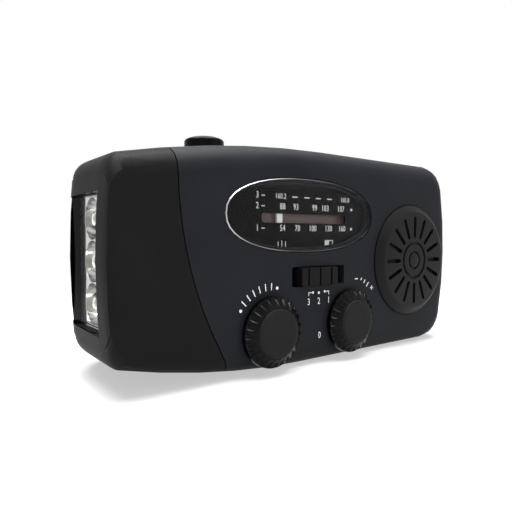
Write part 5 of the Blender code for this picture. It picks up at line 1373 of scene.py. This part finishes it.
@dataclass
class Grille:
    """The round speaker grille with its slots, and the dark cloth behind them."""

    slots: int = 16
    slot_width: float = 0.0013
    slot_inner: float = 0.0073
    slot_outer: float = 0.0144
    slot_end_steps: int = 8
    overrun: float = 0.001
    cut_depth: float = 0.004
    face_radius: float = 0.0161
    edge_round: float = 0.0007
    ring: tuple[float, float] = (0.0053, 0.0061)
    hub: tuple[float, float] = (0.0024, 0.0030)
    groove_depth: float = 0.0007
    lip: float = 0.00015
    thickness: float = 0.0016
    flange: float = 0.0003
    flange_drop: float = 0.0001
    spigot_radius: float = 0.015
    bore_radius: float = 0.0138
    cloth_radius: float = 0.0136
    cloth_thickness: float = 0.00015
    cloth_gap: float = 0.00005
    edge: float = 0.00012
    edge_angle: float = math.radians(45)

    def __post_init__(self) -> None:
        """Reads the grille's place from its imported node."""
        low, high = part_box("speaker_grille")
        middle = middle_of("speaker_grille")
        self.radius = (high.x - low.x) / 2
        self.centre = Vector((middle.x, front_face(), middle.z))
        self.height = self.centre.y - low.y
        self.back = high.y - self.centre.y

    def groove(self, inner: float, outer: float) -> list[Point]:
        """The profile of a groove round the face.

        Args:
            inner: Its inner radius.
            outer: Its outer radius.

        Returns:
            The profile's points.
        """
        top = -self.height
        floor = top + self.groove_depth
        return [
            (inner - self.lip, top),
            (inner, top + self.lip),
            (inner, floor),
            (outer, floor),
            (outer, top + self.lip),
            (outer + self.lip, top),
        ]

    def face(self) -> Shape:
        """The turned disc, with its grooves.

        Returns:
            Its shape.
        """
        top = -self.height
        profile: list[Point] = [(0, top), *self.groove(*self.hub), *self.groove(*self.ring)]
        profile += [(self.face_radius - self.edge_round, top), (self.face_radius, top + self.edge_round / 4)]
        profile += [(self.radius - self.flange, -2 * self.flange), (self.radius, -self.flange)]
        profile += [(self.radius, self.flange_drop), (self.spigot_radius, self.flange_drop)]
        profile += [(self.spigot_radius, self.back), (self.bore_radius, self.back)]
        profile += [(self.bore_radius, top + self.thickness), (0, top + self.thickness)]
        return Shape.turned(profile, self.centre, Axis.Y)

    def slot_cutters(self) -> Shape:
        """The rounded slots as solids.

        Returns:
            Their shape.
        """
        half = self.slot_width / 2
        straight = self.slot_outer - self.slot_inner - self.slot_width
        start = self.centre + Vector((0, -self.height - self.overrun, self.slot_inner + half))
        points = []
        for end, turn in ((0.0, math.pi), (straight, 0.0)):
            for step in range(self.slot_end_steps + 1):
                angle = turn + step / self.slot_end_steps * math.pi
                points.append(start + Vector((half * math.cos(angle), 0, end + half * math.sin(angle))))
        cutter = Shape.outlined(points, Vector((0, self.cut_depth, 0)))
        return cutter.repeated(self.slots, self.centre, Axis.Y)

    def cloth(self) -> None:
        """The thin dark cloth stretched behind the slots."""
        radius, back = self.cloth_radius, self.cloth_thickness
        profile = [(0, 0), (radius, 0), (radius, back), (0, back)]
        place = self.centre + Vector((0, -self.height + self.thickness + self.cloth_gap, 0))
        Shape.turned(profile, place, Axis.Y).piece("speaker_cloth", Body.CASING, CLOTH)

    def build(self) -> None:
        """Builds the grille and its cloth."""
        shape = self.face().cut(self.slot_cutters())
        shape.rounded(self.edge, EDGE_STEPS, self.edge_angle)
        shape.piece("speaker_grille_slotted", Body.CASING, GRILLE_SATIN, ("speaker_grille",))
        self.cloth()


@dataclass
class Casing:
    """The front and rear shells and the torch-end cap, with near-black painted shade on the black plastic of the
    cap's window recess.
    """

    window_height: float = 0.0321
    window_depth: float = 0.0275
    window_floor: float = 0.0055
    window_margin: float = 0.0001
    top_radius: float = 0.0052
    bottom_radius: float = 0.0058
    # How far inwards the cap is measured from its top or bottom, and first from its end.
    end_level: float = 0.0034
    first_reach: float = 0.014
    fitting_steps: int = 3
    overrun: float = 0.002
    stations: int = 36
    arc_steps: int = 12
    cap_edge: float = 0.00035
    cap_edge_steps: int = 3
    cap_crease: float = math.radians(55)

    def recess_faces(self, shape: Shape) -> list[int]:
        """The cap's faces inside its window recess.

        Args:
            shape: The cap.

        Returns:
            Their indices.
        """
        cap_low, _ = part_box("torch_cap")
        window = middle_of("torch_reflector")
        half_y = self.window_depth / 2 + self.window_margin
        half_z = self.window_height / 2 + self.window_margin
        shape.mesh.faces.ensure_lookup_table()
        inside = []
        for face in shape.mesh.faces:
            place = face.calc_center_median()
            across = abs(place.y - window.y) < half_y and abs(place.z - window.z) < half_z
            if across and place.x < cap_low.x + self.window_floor:
                inside.append(face.index)
        return inside

    def corner(self, tree: BVHTree, y: float, radius: float, up: int) -> list[Vector]:
        """The outline, at one depth, of what the rounding of an end edge takes off the cap.

        The cap's end is measured a little inwards from its top or bottom face, clear of the window.

        Args:
            tree: The cap's faces, to measure it by.
            y: The depth.
            radius: The rounding's radius.
            up: 1 at the top edge, -1 at the bottom edge.

        Returns:
            The outline's points.
        """
        low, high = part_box("torch_cap")
        outside_z = high.z + self.overrun if up > 0 else low.z - self.overrun
        outside_x = low.x - self.overrun
        x = low.x + self.first_reach
        for _ in range(self.fitting_steps):
            z = tree.ray_cast(Vector((x, y, outside_z)), Vector((0, 0, -up)))[0].z
            end = tree.ray_cast(Vector((outside_x, y, z - up * self.end_level)), Vector((1, 0, 0)))[0].x
            x = end + radius
        points = [Vector((outside_x, y, z - up * radius))]
        for angle in quarter(self.arc_steps):
            across = radius * (1 - math.cos(angle))
            points.append(Vector((end + across, y, z - up * radius * (1 - math.sin(angle)))))
        return points + [Vector((x, y, outside_z)), Vector((outside_x, y, outside_z))]

    def soften(self, cap: Shape, radius: float, up: int) -> None:
        """Rounds the cap's top or bottom end edge along its whole depth.

        Args:
            cap: The cap.
            radius: The rounding's radius.
            up: 1 for the top edge, -1 for the bottom edge.
        """
        tree = BVHTree.FromBMesh(cap.mesh)
        low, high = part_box("torch_cap")
        first, last = low.y + self.overrun / 4, high.y - self.overrun / 4
        rings = [
            self.corner(tree, first + (last - first) * step / self.stations, radius, up)
            for step in range(self.stations + 1)
        ]
        rings.insert(0, [point - Vector((0, self.overrun, 0)) for point in rings[0]])
        rings.append([point + Vector((0, self.overrun, 0)) for point in rings[-1]])
        cutter = Shape()
        rows = [[cutter.mesh.verts.new(point) for point in ring] for ring in rings]
        for near, far in zip(rows, rows[1:]):
            for index in range(len(near)):
                after = (index + 1) % len(near)
                cutter.mesh.faces.new((near[index], near[after], far[after], far[index]))
        cutter.mesh.faces.new(rows[0][::-1])
        cutter.mesh.faces.new(rows[-1])
        cap.cut(cutter.face_out())

    def build(self) -> None:
        """Builds the shells and the cap."""
        refined("front_shell", Body.CASING, CASING, SHELL_EDGE)
        refined("rear_shell", Body.CASING, CASING, SHELL_EDGE)
        cap = Shape.copied("torch_cap")
        self.soften(cap, self.top_radius, 1)
        self.soften(cap, self.bottom_radius, -1)
        cap.rounded(self.cap_edge, self.cap_edge_steps)
        inside = self.recess_faces(cap)
        piece = cap.piece("torch_cap_finished", Body.CASING, CAP, ("torch_cap",), crease=self.cap_crease)
        # The recess faces get the near-black material, painted shade over the recess's own black plastic.
        piece.data.materials.append(PAINTBOX.material(RECESS_BLACK_PAINTED_SHADE))
        for index in inside:
            piece.data.polygons[index].material_index = 1


@dataclass
class Torch:
    """The torch behind its window: the silvered three-cup reflector and its lamps."""

    cups: int = 3
    cup_radius: float = 0.0051
    cup_curve: float = 1.8  # power of the depth that narrows the bowl
    cup_steps: int = 8
    throat_radius: float = 0.0026
    overrun: float = 0.001
    edge: float = 0.00015
    edge_angle: float = math.radians(60)
    dome_steps: int = 8

    def lamp_nodes(self) -> list[str]:
        """The lamps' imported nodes, from the lowest up."""
        return [f"torch_led_{number}" for number in range(1, self.cups + 1)]

    def reflector(self) -> None:
        """The silvered block with a bowl round each lamp."""
        low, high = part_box("torch_reflector")
        depth = high.x - low.x
        shape = Shape.block(low, high)
        for node in self.lamp_nodes():
            profile = [(0, -self.overrun), (self.cup_radius, -self.overrun), (self.cup_radius, 0)]
            for step in range(1, self.cup_steps + 1):
                share = step / self.cup_steps
                radius = self.cup_radius - (self.cup_radius - self.throat_radius) * share**self.cup_curve
                profile.append((radius, depth * share))
            profile += [(self.throat_radius, depth + self.overrun), (0, depth + self.overrun)]
            lamp = middle_of(node)
            shape.cut(Shape.turned(profile, (low.x, lamp.y, lamp.z), Axis.X, BOWL_SEGMENTS))
        shape.rounded(self.edge, EDGE_STEPS, self.edge_angle)
        shape.piece("torch_reflector_bowls", Body.CASING, MIRROR, ("torch_reflector",))

    def lamps(self) -> None:
        """The clear domed lamps."""
        for number, node in enumerate(self.lamp_nodes(), 1):
            low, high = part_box(node)
            middle = middle_of(node)
            radius = (high.z - low.z) / 2
            length = high.x - low.x
            profile = [(0, -length)]
            for angle in quarter(self.dome_steps, 1):
                profile.append((radius * math.sin(angle), -length + radius * (1 - math.cos(angle))))
            profile += [(radius, 0), (0, 0)]
            lamp = Shape.turned(profile, (high.x, middle.y, middle.z), Axis.X, SMALL_SEGMENTS)
            lamp.piece(f"torch_lamp_{number}", Body.CASING, LAMP, (node,))

    def build(self) -> None:
        """Builds the torch."""
        refined("torch_lens", Body.CASING, TORCH_CLEAR, FINE_EDGE)
        self.reflector()
        self.lamps()


@dataclass
class BandSlider:
    """The grooved band slider in its slot."""

    edge: float = 0.00015

    def build(self) -> None:
        """Builds the slider."""
        refined("band_slider", Body.BAND_SLIDER, CONTROL, self.edge)


@dataclass
class Speaker:
    """The speaker behind the grille: its frame, its paper cone and its magnet."""

    edge: float = FINE_EDGE

    def build(self) -> None:
        """Builds the speaker."""
        for node, finish in (("speaker_frame", STEEL), ("speaker_cone", PAPER), ("speaker_magnet", STEEL)):
            refined(node, Body.CASING, finish, self.edge)


@dataclass
class Crank:
    """The folding crank: its hub, arm, pins and turned knob."""

    hub_edge: float = 0.00025
    arm_edge: float = 0.00035
    knob_bore: float = 0.0018
    knob_rim: float = 0.0007
    knob_waist: float = 0.0006
    knob_steps: int = 12
    ridge_count: int = 4
    ridge: float = 0.00022

    def knob(self) -> None:
        """The waisted knob with rings round it."""
        low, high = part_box("crank_knob")
        middle = middle_of("crank_knob")
        radius = (high.x - low.x) / 2
        length = high.y - low.y
        rim = self.knob_rim
        profile: list[Point] = [(self.knob_bore, 0), (radius - rim, 0), (radius, rim)]
        for step in range(1, self.knob_steps):
            share = step / self.knob_steps
            waist = self.knob_waist * math.sin(math.pi * share)
            wave = self.ridge * (1 - math.cos(FULL_TURN * self.ridge_count * share)) / 2
            profile.append((radius - waist - wave, rim + (length - 2 * rim) * share))
        profile += [(radius, length - rim), (radius - rim, length), (self.knob_bore, length), (self.knob_bore, 0)]
        shape = Shape.turned(profile, (middle.x, low.y, middle.z), Axis.Y)
        shape.piece("crank_knob_turned", Body.CRANK_KNOB, CONTROL, ("crank_knob",))

    def build(self) -> None:
        """Builds the crank."""
        refined("crank_hub", Body.CRANK_HUB, CONTROL, self.hub_edge)
        refined("crank_hinge_pin", Body.CRANK_HUB, STEEL, FINE_EDGE)
        refined("crank_arm", Body.CRANK_ARM, CONTROL, self.arm_edge)
        refined("crank_knob_pin", Body.CRANK_ARM, STEEL, FINE_EDGE)
        self.knob()


@dataclass
class Screws:
    """The four casing screws, with cross recesses."""

    count: int = 4
    crown: float = 0.0004
    # Shares of the head's radius and of the crown's drop.
    crown_points: tuple[tuple[float, float], ...] = ((0.0, 0.0), (0.5, 0.2), (0.85, 0.6), (1.0, 1.0))
    head_depth: float = 0.0018
    stem: float = 0.0013
    tip_share: float = 1 / 3
    recess_width: float = 0.0006
    recess_depth: float = 0.0009
    recess_share: float = 0.62
    cut_height: float = 0.003

    def screw(self, node: str) -> None:
        """Builds one screw.

        Args:
            node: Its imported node.
        """
        low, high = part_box(node)
        middle = middle_of(node)
        head = (high.x - low.x) / 2
        profile = [(head * out, high.y - self.crown * down) for out, down in self.crown_points]
        profile += [(head, high.y - self.head_depth), (self.stem, high.y - self.head_depth)]
        profile += [(self.stem, low.y + self.stem), (self.stem * self.tip_share, low.y), (0, low.y)]
        screw = Shape.turned(profile, (middle.x, 0, middle.z), Axis.Y, SMALL_SEGMENTS)
        half = self.recess_width / 2
        arm = head * self.recess_share
        floor = Vector((middle.x, high.y - self.recess_depth, middle.z))
        for half_x, half_z in ((arm, half), (half, arm)):
            reach = Vector((half_x, 0, half_z))
            screw.cut(Shape.block(floor - reach, floor + reach + Vector((0, self.cut_height, 0))))
        screw.piece(f"{node}_cross", Body.CASING, STEEL, (node,))

    def build(self) -> None:
        """Builds the screws."""
        for number in range(1, self.count + 1):
            self.screw(f"shell_screw_{number}")


@dataclass
class Covers:
    """The grip on the battery door and the grooves in the sockets' cover."""

    rib_count: int = 5
    rib_pitch: float = 0.0016
    rib_length: float = 0.009
    rib_radius: float = 0.00035
    rib_end_steps: int = 6
    grip_below_top: float = 0.0045
    groove_count: int = 3
    groove_length: float = 0.0062
    groove_below_top: float = 0.00225
    cover_edge: float = 0.0003

    def rib(self, middle: Point, along: Axis, length: float) -> Shape:
        """One round-ended bar, for a rib or the cutter of a groove.

        Args:
            middle: Its middle.
            along: The axis that it lies along.
            length: Its length.

        Returns:
            Its shape.
        """
        straight = length / 2 - self.rib_radius
        end = [
            (self.rib_radius * math.sin(angle), straight + self.rib_radius * math.cos(angle))
            for angle in quarter(self.rib_end_steps)
        ]
        profile = [(radius, -place) for radius, place in end] + end[::-1]
        return Shape.turned(profile, Vector(middle), along, DOT_SEGMENTS)

    def door_grip(self) -> None:
        """The ribs on the battery door."""
        _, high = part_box("battery_door")
        x, top = middle_of("battery_door").x, high.z - self.grip_below_top
        grip = Shape()
        for number in range(self.rib_count):
            grip.added(self.rib((x, high.y, top - number * self.rib_pitch), Axis.X, self.rib_length))
        grip.piece("battery_door_grip", Body.BATTERY_DOOR, CASING)

    def port_cover(self) -> None:
        """The rubber cover with its grooves."""
        _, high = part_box("port_cover")
        y, top = middle_of("port_cover").y, high.z - self.groove_below_top
        grooves = [
            self.rib((high.x, y, top - number * self.rib_pitch), Axis.Y, self.groove_length)
            for number in range(self.groove_count)
        ]
        cover = Shape.copied("port_cover").rounded(self.cover_edge).cut(*grooves)
        cover.piece("port_cover_grooved", Body.PORT_COVER, RUBBER, ("port_cover",))

    def build(self) -> None:
        """Builds the grip and the cover."""
        self.door_grip()
        self.port_cover()


@dataclass(frozen=True)
class Kept:
    """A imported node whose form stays, and the finish that it gets."""

    node: str
    body: Body
    finish: Finish
    edge: float = EDGE_WIDTH


ROUNDED_NODES = (
    Kept("torch_switch", Body.CASING, GREY_PLASTIC),
    Kept("volume_control", Body.CASING, STEEL),
    Kept("tuning_capacitor", Body.CASING, GREY_PLASTIC),
    Kept("tuning_shaft", Body.TUNING_KNOB, GEAR_BLACK, 0.0),
    Kept("volume_shaft", Body.VOLUME_KNOB, GEAR_BLACK, 0.0),
    Kept("band_switch", Body.CASING, DARK_STEEL),
    Kept("ferrite_rod", Body.CASING, SINTERED),
    Kept("ferrite_coil", Body.CASING, COPPER, 0.0),
    *(Kept(f"battery_cell_{number}", Body.CASING, CELL_SLEEVE) for number in (1, 2, 3)),
    Kept("battery_door", Body.BATTERY_DOOR, CASING, SHELL_EDGE),
    Kept("generator_body", Body.CASING, STEEL),
    Kept("generator_rotor", Body.ROTOR, STEEL, 0.0),
    Kept("solar_panel", Body.CASING, SILICON, 0.0),
    Kept("solar_cover", Body.CASING, CLEAR, FINE_EDGE),
    Kept("usb_socket", Body.CASING, STEEL, FINE_EDGE),
    Kept("charge_socket", Body.CASING, GREY_PLASTIC, FINE_EDGE),
    Kept("antenna_base", Body.AERIAL_BASE, CHROME),
    *(
        Kept(body.value, body, CHROME, FINE_EDGE)
        for body in (Body.AERIAL_TUBE_1, Body.AERIAL_TUBE_2, Body.AERIAL_TUBE_3)
    ),
)
PAINTED_NODES = (
    ("torch_board", BOARD),
    ("main_board", BOARD),
    ("tuning_idler_gear", GEAR_BLACK),
    ("tuning_capacitor_gear", GEAR_BLACK),
    ("compound_gear", GEAR_BLACK),
    ("crank_gear", GEAR_BLACK),
)


@dataclass
class Inside:
    """The parts whose packed form stays: the works, the cells, the sockets and the aerial."""

    rounded: tuple[Kept, ...] = ROUNDED_NODES
    painted: tuple[tuple[str, Finish], ...] = PAINTED_NODES

    def build(self) -> None:
        """Finishes each of them."""
        for kept in self.rounded:
            refined(kept.node, kept.body, kept.finish, kept.edge)
        for node, finish in self.painted:
            data = bpy.data.objects[node].data
            data.materials.clear()
            data.materials.append(PAINTBOX.material(finish))
            LOG.info("%s: packed form kept", node)


@dataclass(frozen=True)
class SoftLamp:
    """A square area lamp that points at the radio."""

    name: str
    place: tuple[float, float, float]
    size: float
    power: float


@dataclass
class Studio:
    """The floor, the lamps and the camera."""

    lamps: tuple[SoftLamp, ...] = (
        SoftLamp("over", (-0.02, 0.02, 0.6), 0.6, 14.0),
        SoftLamp("left", (-0.45, -0.45, 0.4), 0.5, 0.36),
        SoftLamp("front", (0.35, -0.6, 0.35), 0.5, 0.85),
    )
    lamp_target: tuple[float, float, float] = (0.0, 0.0, 0.03)
    surroundings: float = 0.23
    floor_colour: tuple[float, float, float] = (0.83, 0.83, 0.835)
    floor_cloud: float = 30.0
    floor_cloud_detail: float = 4.0
    floor_cloud_shade: float = 0.99
    floor_roughness: float = 0.8
    floor_specular: float = 0.1
    floor_size: float = 3.0
    # How far from the middle the floor starts and ends turning white, and its white share at the start.
    near: float = 0.09
    far: float = 0.3
    near_white: float = 0.5
    camera_place: tuple[float, float, float] = (-0.10099, -0.12146, 0.03679)
    camera_yaw: float = math.radians(37.54)
    camera_pitch: float = math.radians(2.54)
    camera_roll: float = math.radians(0.2)
    focal_length: float = 34.72
    sensor: float = 36.0
    clip_start: float = 0.005

    def floor(self) -> None:
        """Makes the pale floor, which turns to plain white away from the radio."""
        shape = Shape()
        bmesh.ops.create_grid(shape.mesh, x_segments=2, y_segments=2, size=self.floor_size)
        floor = shape.loose("floor")
        nodes = NodeTree("pale_floor")
        tree = nodes.tree
        cloud = nodes.spread(nodes.noise(self.floor_cloud, self.floor_cloud_detail), 0.0, 1.0)
        pale = nodes.tint(cloud, shade(self.floor_colour, self.floor_cloud_shade), self.floor_colour)
        nodes.set(Base_Color=pale, Roughness=self.floor_roughness, Specular_IOR_Level=self.floor_specular)
        distance = nodes.add("ShaderNodeVectorMath", Vector=nodes.place)
        distance.operation = "LENGTH"
        whiter = nodes.add(
            "ShaderNodeMapRange",
            Value=distance.outputs["Value"],
            From_Min=self.near,
            From_Max=self.far,
            To_Min=self.near_white,
            To_Max=1.0,
        ).outputs["Result"]
        share = calculated(tree, "MULTIPLY", of_rays(tree, SEEING_RAYS), whiter)
        white = nodes.add("ShaderNodeEmission", Color=(1, 1, 1, 1), Strength=1.0)
        surface = mixed(tree, share, nodes.shader.outputs[0], white.outputs[0])
        tree.links.new(surface, tree.nodes["Material Output"].inputs["Surface"])
        floor.data.materials.append(nodes.material)

    def world(self) -> None:
        """Lights the surroundings evenly, and shows them white where they are seen."""
        world = bpy.data.worlds.new("studio")
        world.use_nodes = True
        tree = world.node_tree
        dim, bright = tree.nodes["Background"], tree.nodes.new("ShaderNodeBackground")
        for background, strength in ((dim, self.surroundings), (bright, 1.0)):
            background.inputs["Color"].default_value = (1, 1, 1, 1)
            background.inputs["Strength"].default_value = strength
        surface = mixed(tree, of_rays(tree, SEEING_RAYS), dim.outputs[0], bright.outputs[0])
        tree.links.new(surface, tree.nodes["World Output"].inputs["Surface"])
        bpy.context.scene.world = world

    def lamp(self, lamp: SoftLamp) -> None:
        """Adds a soft area lamp.

        Args:
            lamp: Its name, place, size and power.
        """
        data = bpy.data.lights.new(lamp.name, "AREA")
        data.size = lamp.size
        data.energy = lamp.power
        item = bpy.data.objects.new(lamp.name, data)
        item.location = lamp.place
        aim = Vector(self.lamp_target) - Vector(lamp.place)
        item.rotation_euler = aim.to_track_quat("-Z", "Y").to_euler()
        bpy.context.scene.collection.objects.link(item)

    def camera(self) -> None:
        """Sets the camera at the photograph's place."""
        data = bpy.data.cameras.new("camera")
        data.sensor_width = self.sensor
        data.lens = self.focal_length
        data.clip_start = self.clip_start
        camera = bpy.data.objects.new("camera", data)
        camera.location = self.camera_place
        turn = Matrix.Rotation(-self.camera_yaw, 4, "Z") @ Matrix.Rotation(QUARTER_TURN - self.camera_pitch, 4, "X")
        turn = turn @ Matrix.Rotation(self.camera_roll, 4, "Z")
        camera.rotation_euler = turn.to_euler()
        bpy.context.scene.collection.objects.link(camera)
        bpy.context.scene.camera = camera

    def build(self) -> None:
        """Builds the whole studio."""
        self.floor()
        self.world()
        for lamp in self.lamps:
            self.lamp(lamp)
        self.camera()
        bpy.context.scene.view_settings.view_transform = "Standard"


def main() -> None:
    """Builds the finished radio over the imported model."""
    logging.basicConfig(level=logging.INFO, format="%(message)s")
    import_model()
    Casing().build()
    Dial().build()
    FrontPrints().build()
    FluteKnob("tuning_knob", Body.TUNING_KNOB).build()
    FluteKnob("volume_knob", Body.VOLUME_KNOB).build()
    BandSlider().build()
    Grille().build()
    Speaker().build()
    Torch().build()
    PushButton().build()
    Crank().build()
    Screws().build()
    Covers().build()
    Inside().build()
    Studio().build()


if __name__ == "__main__":
    main()
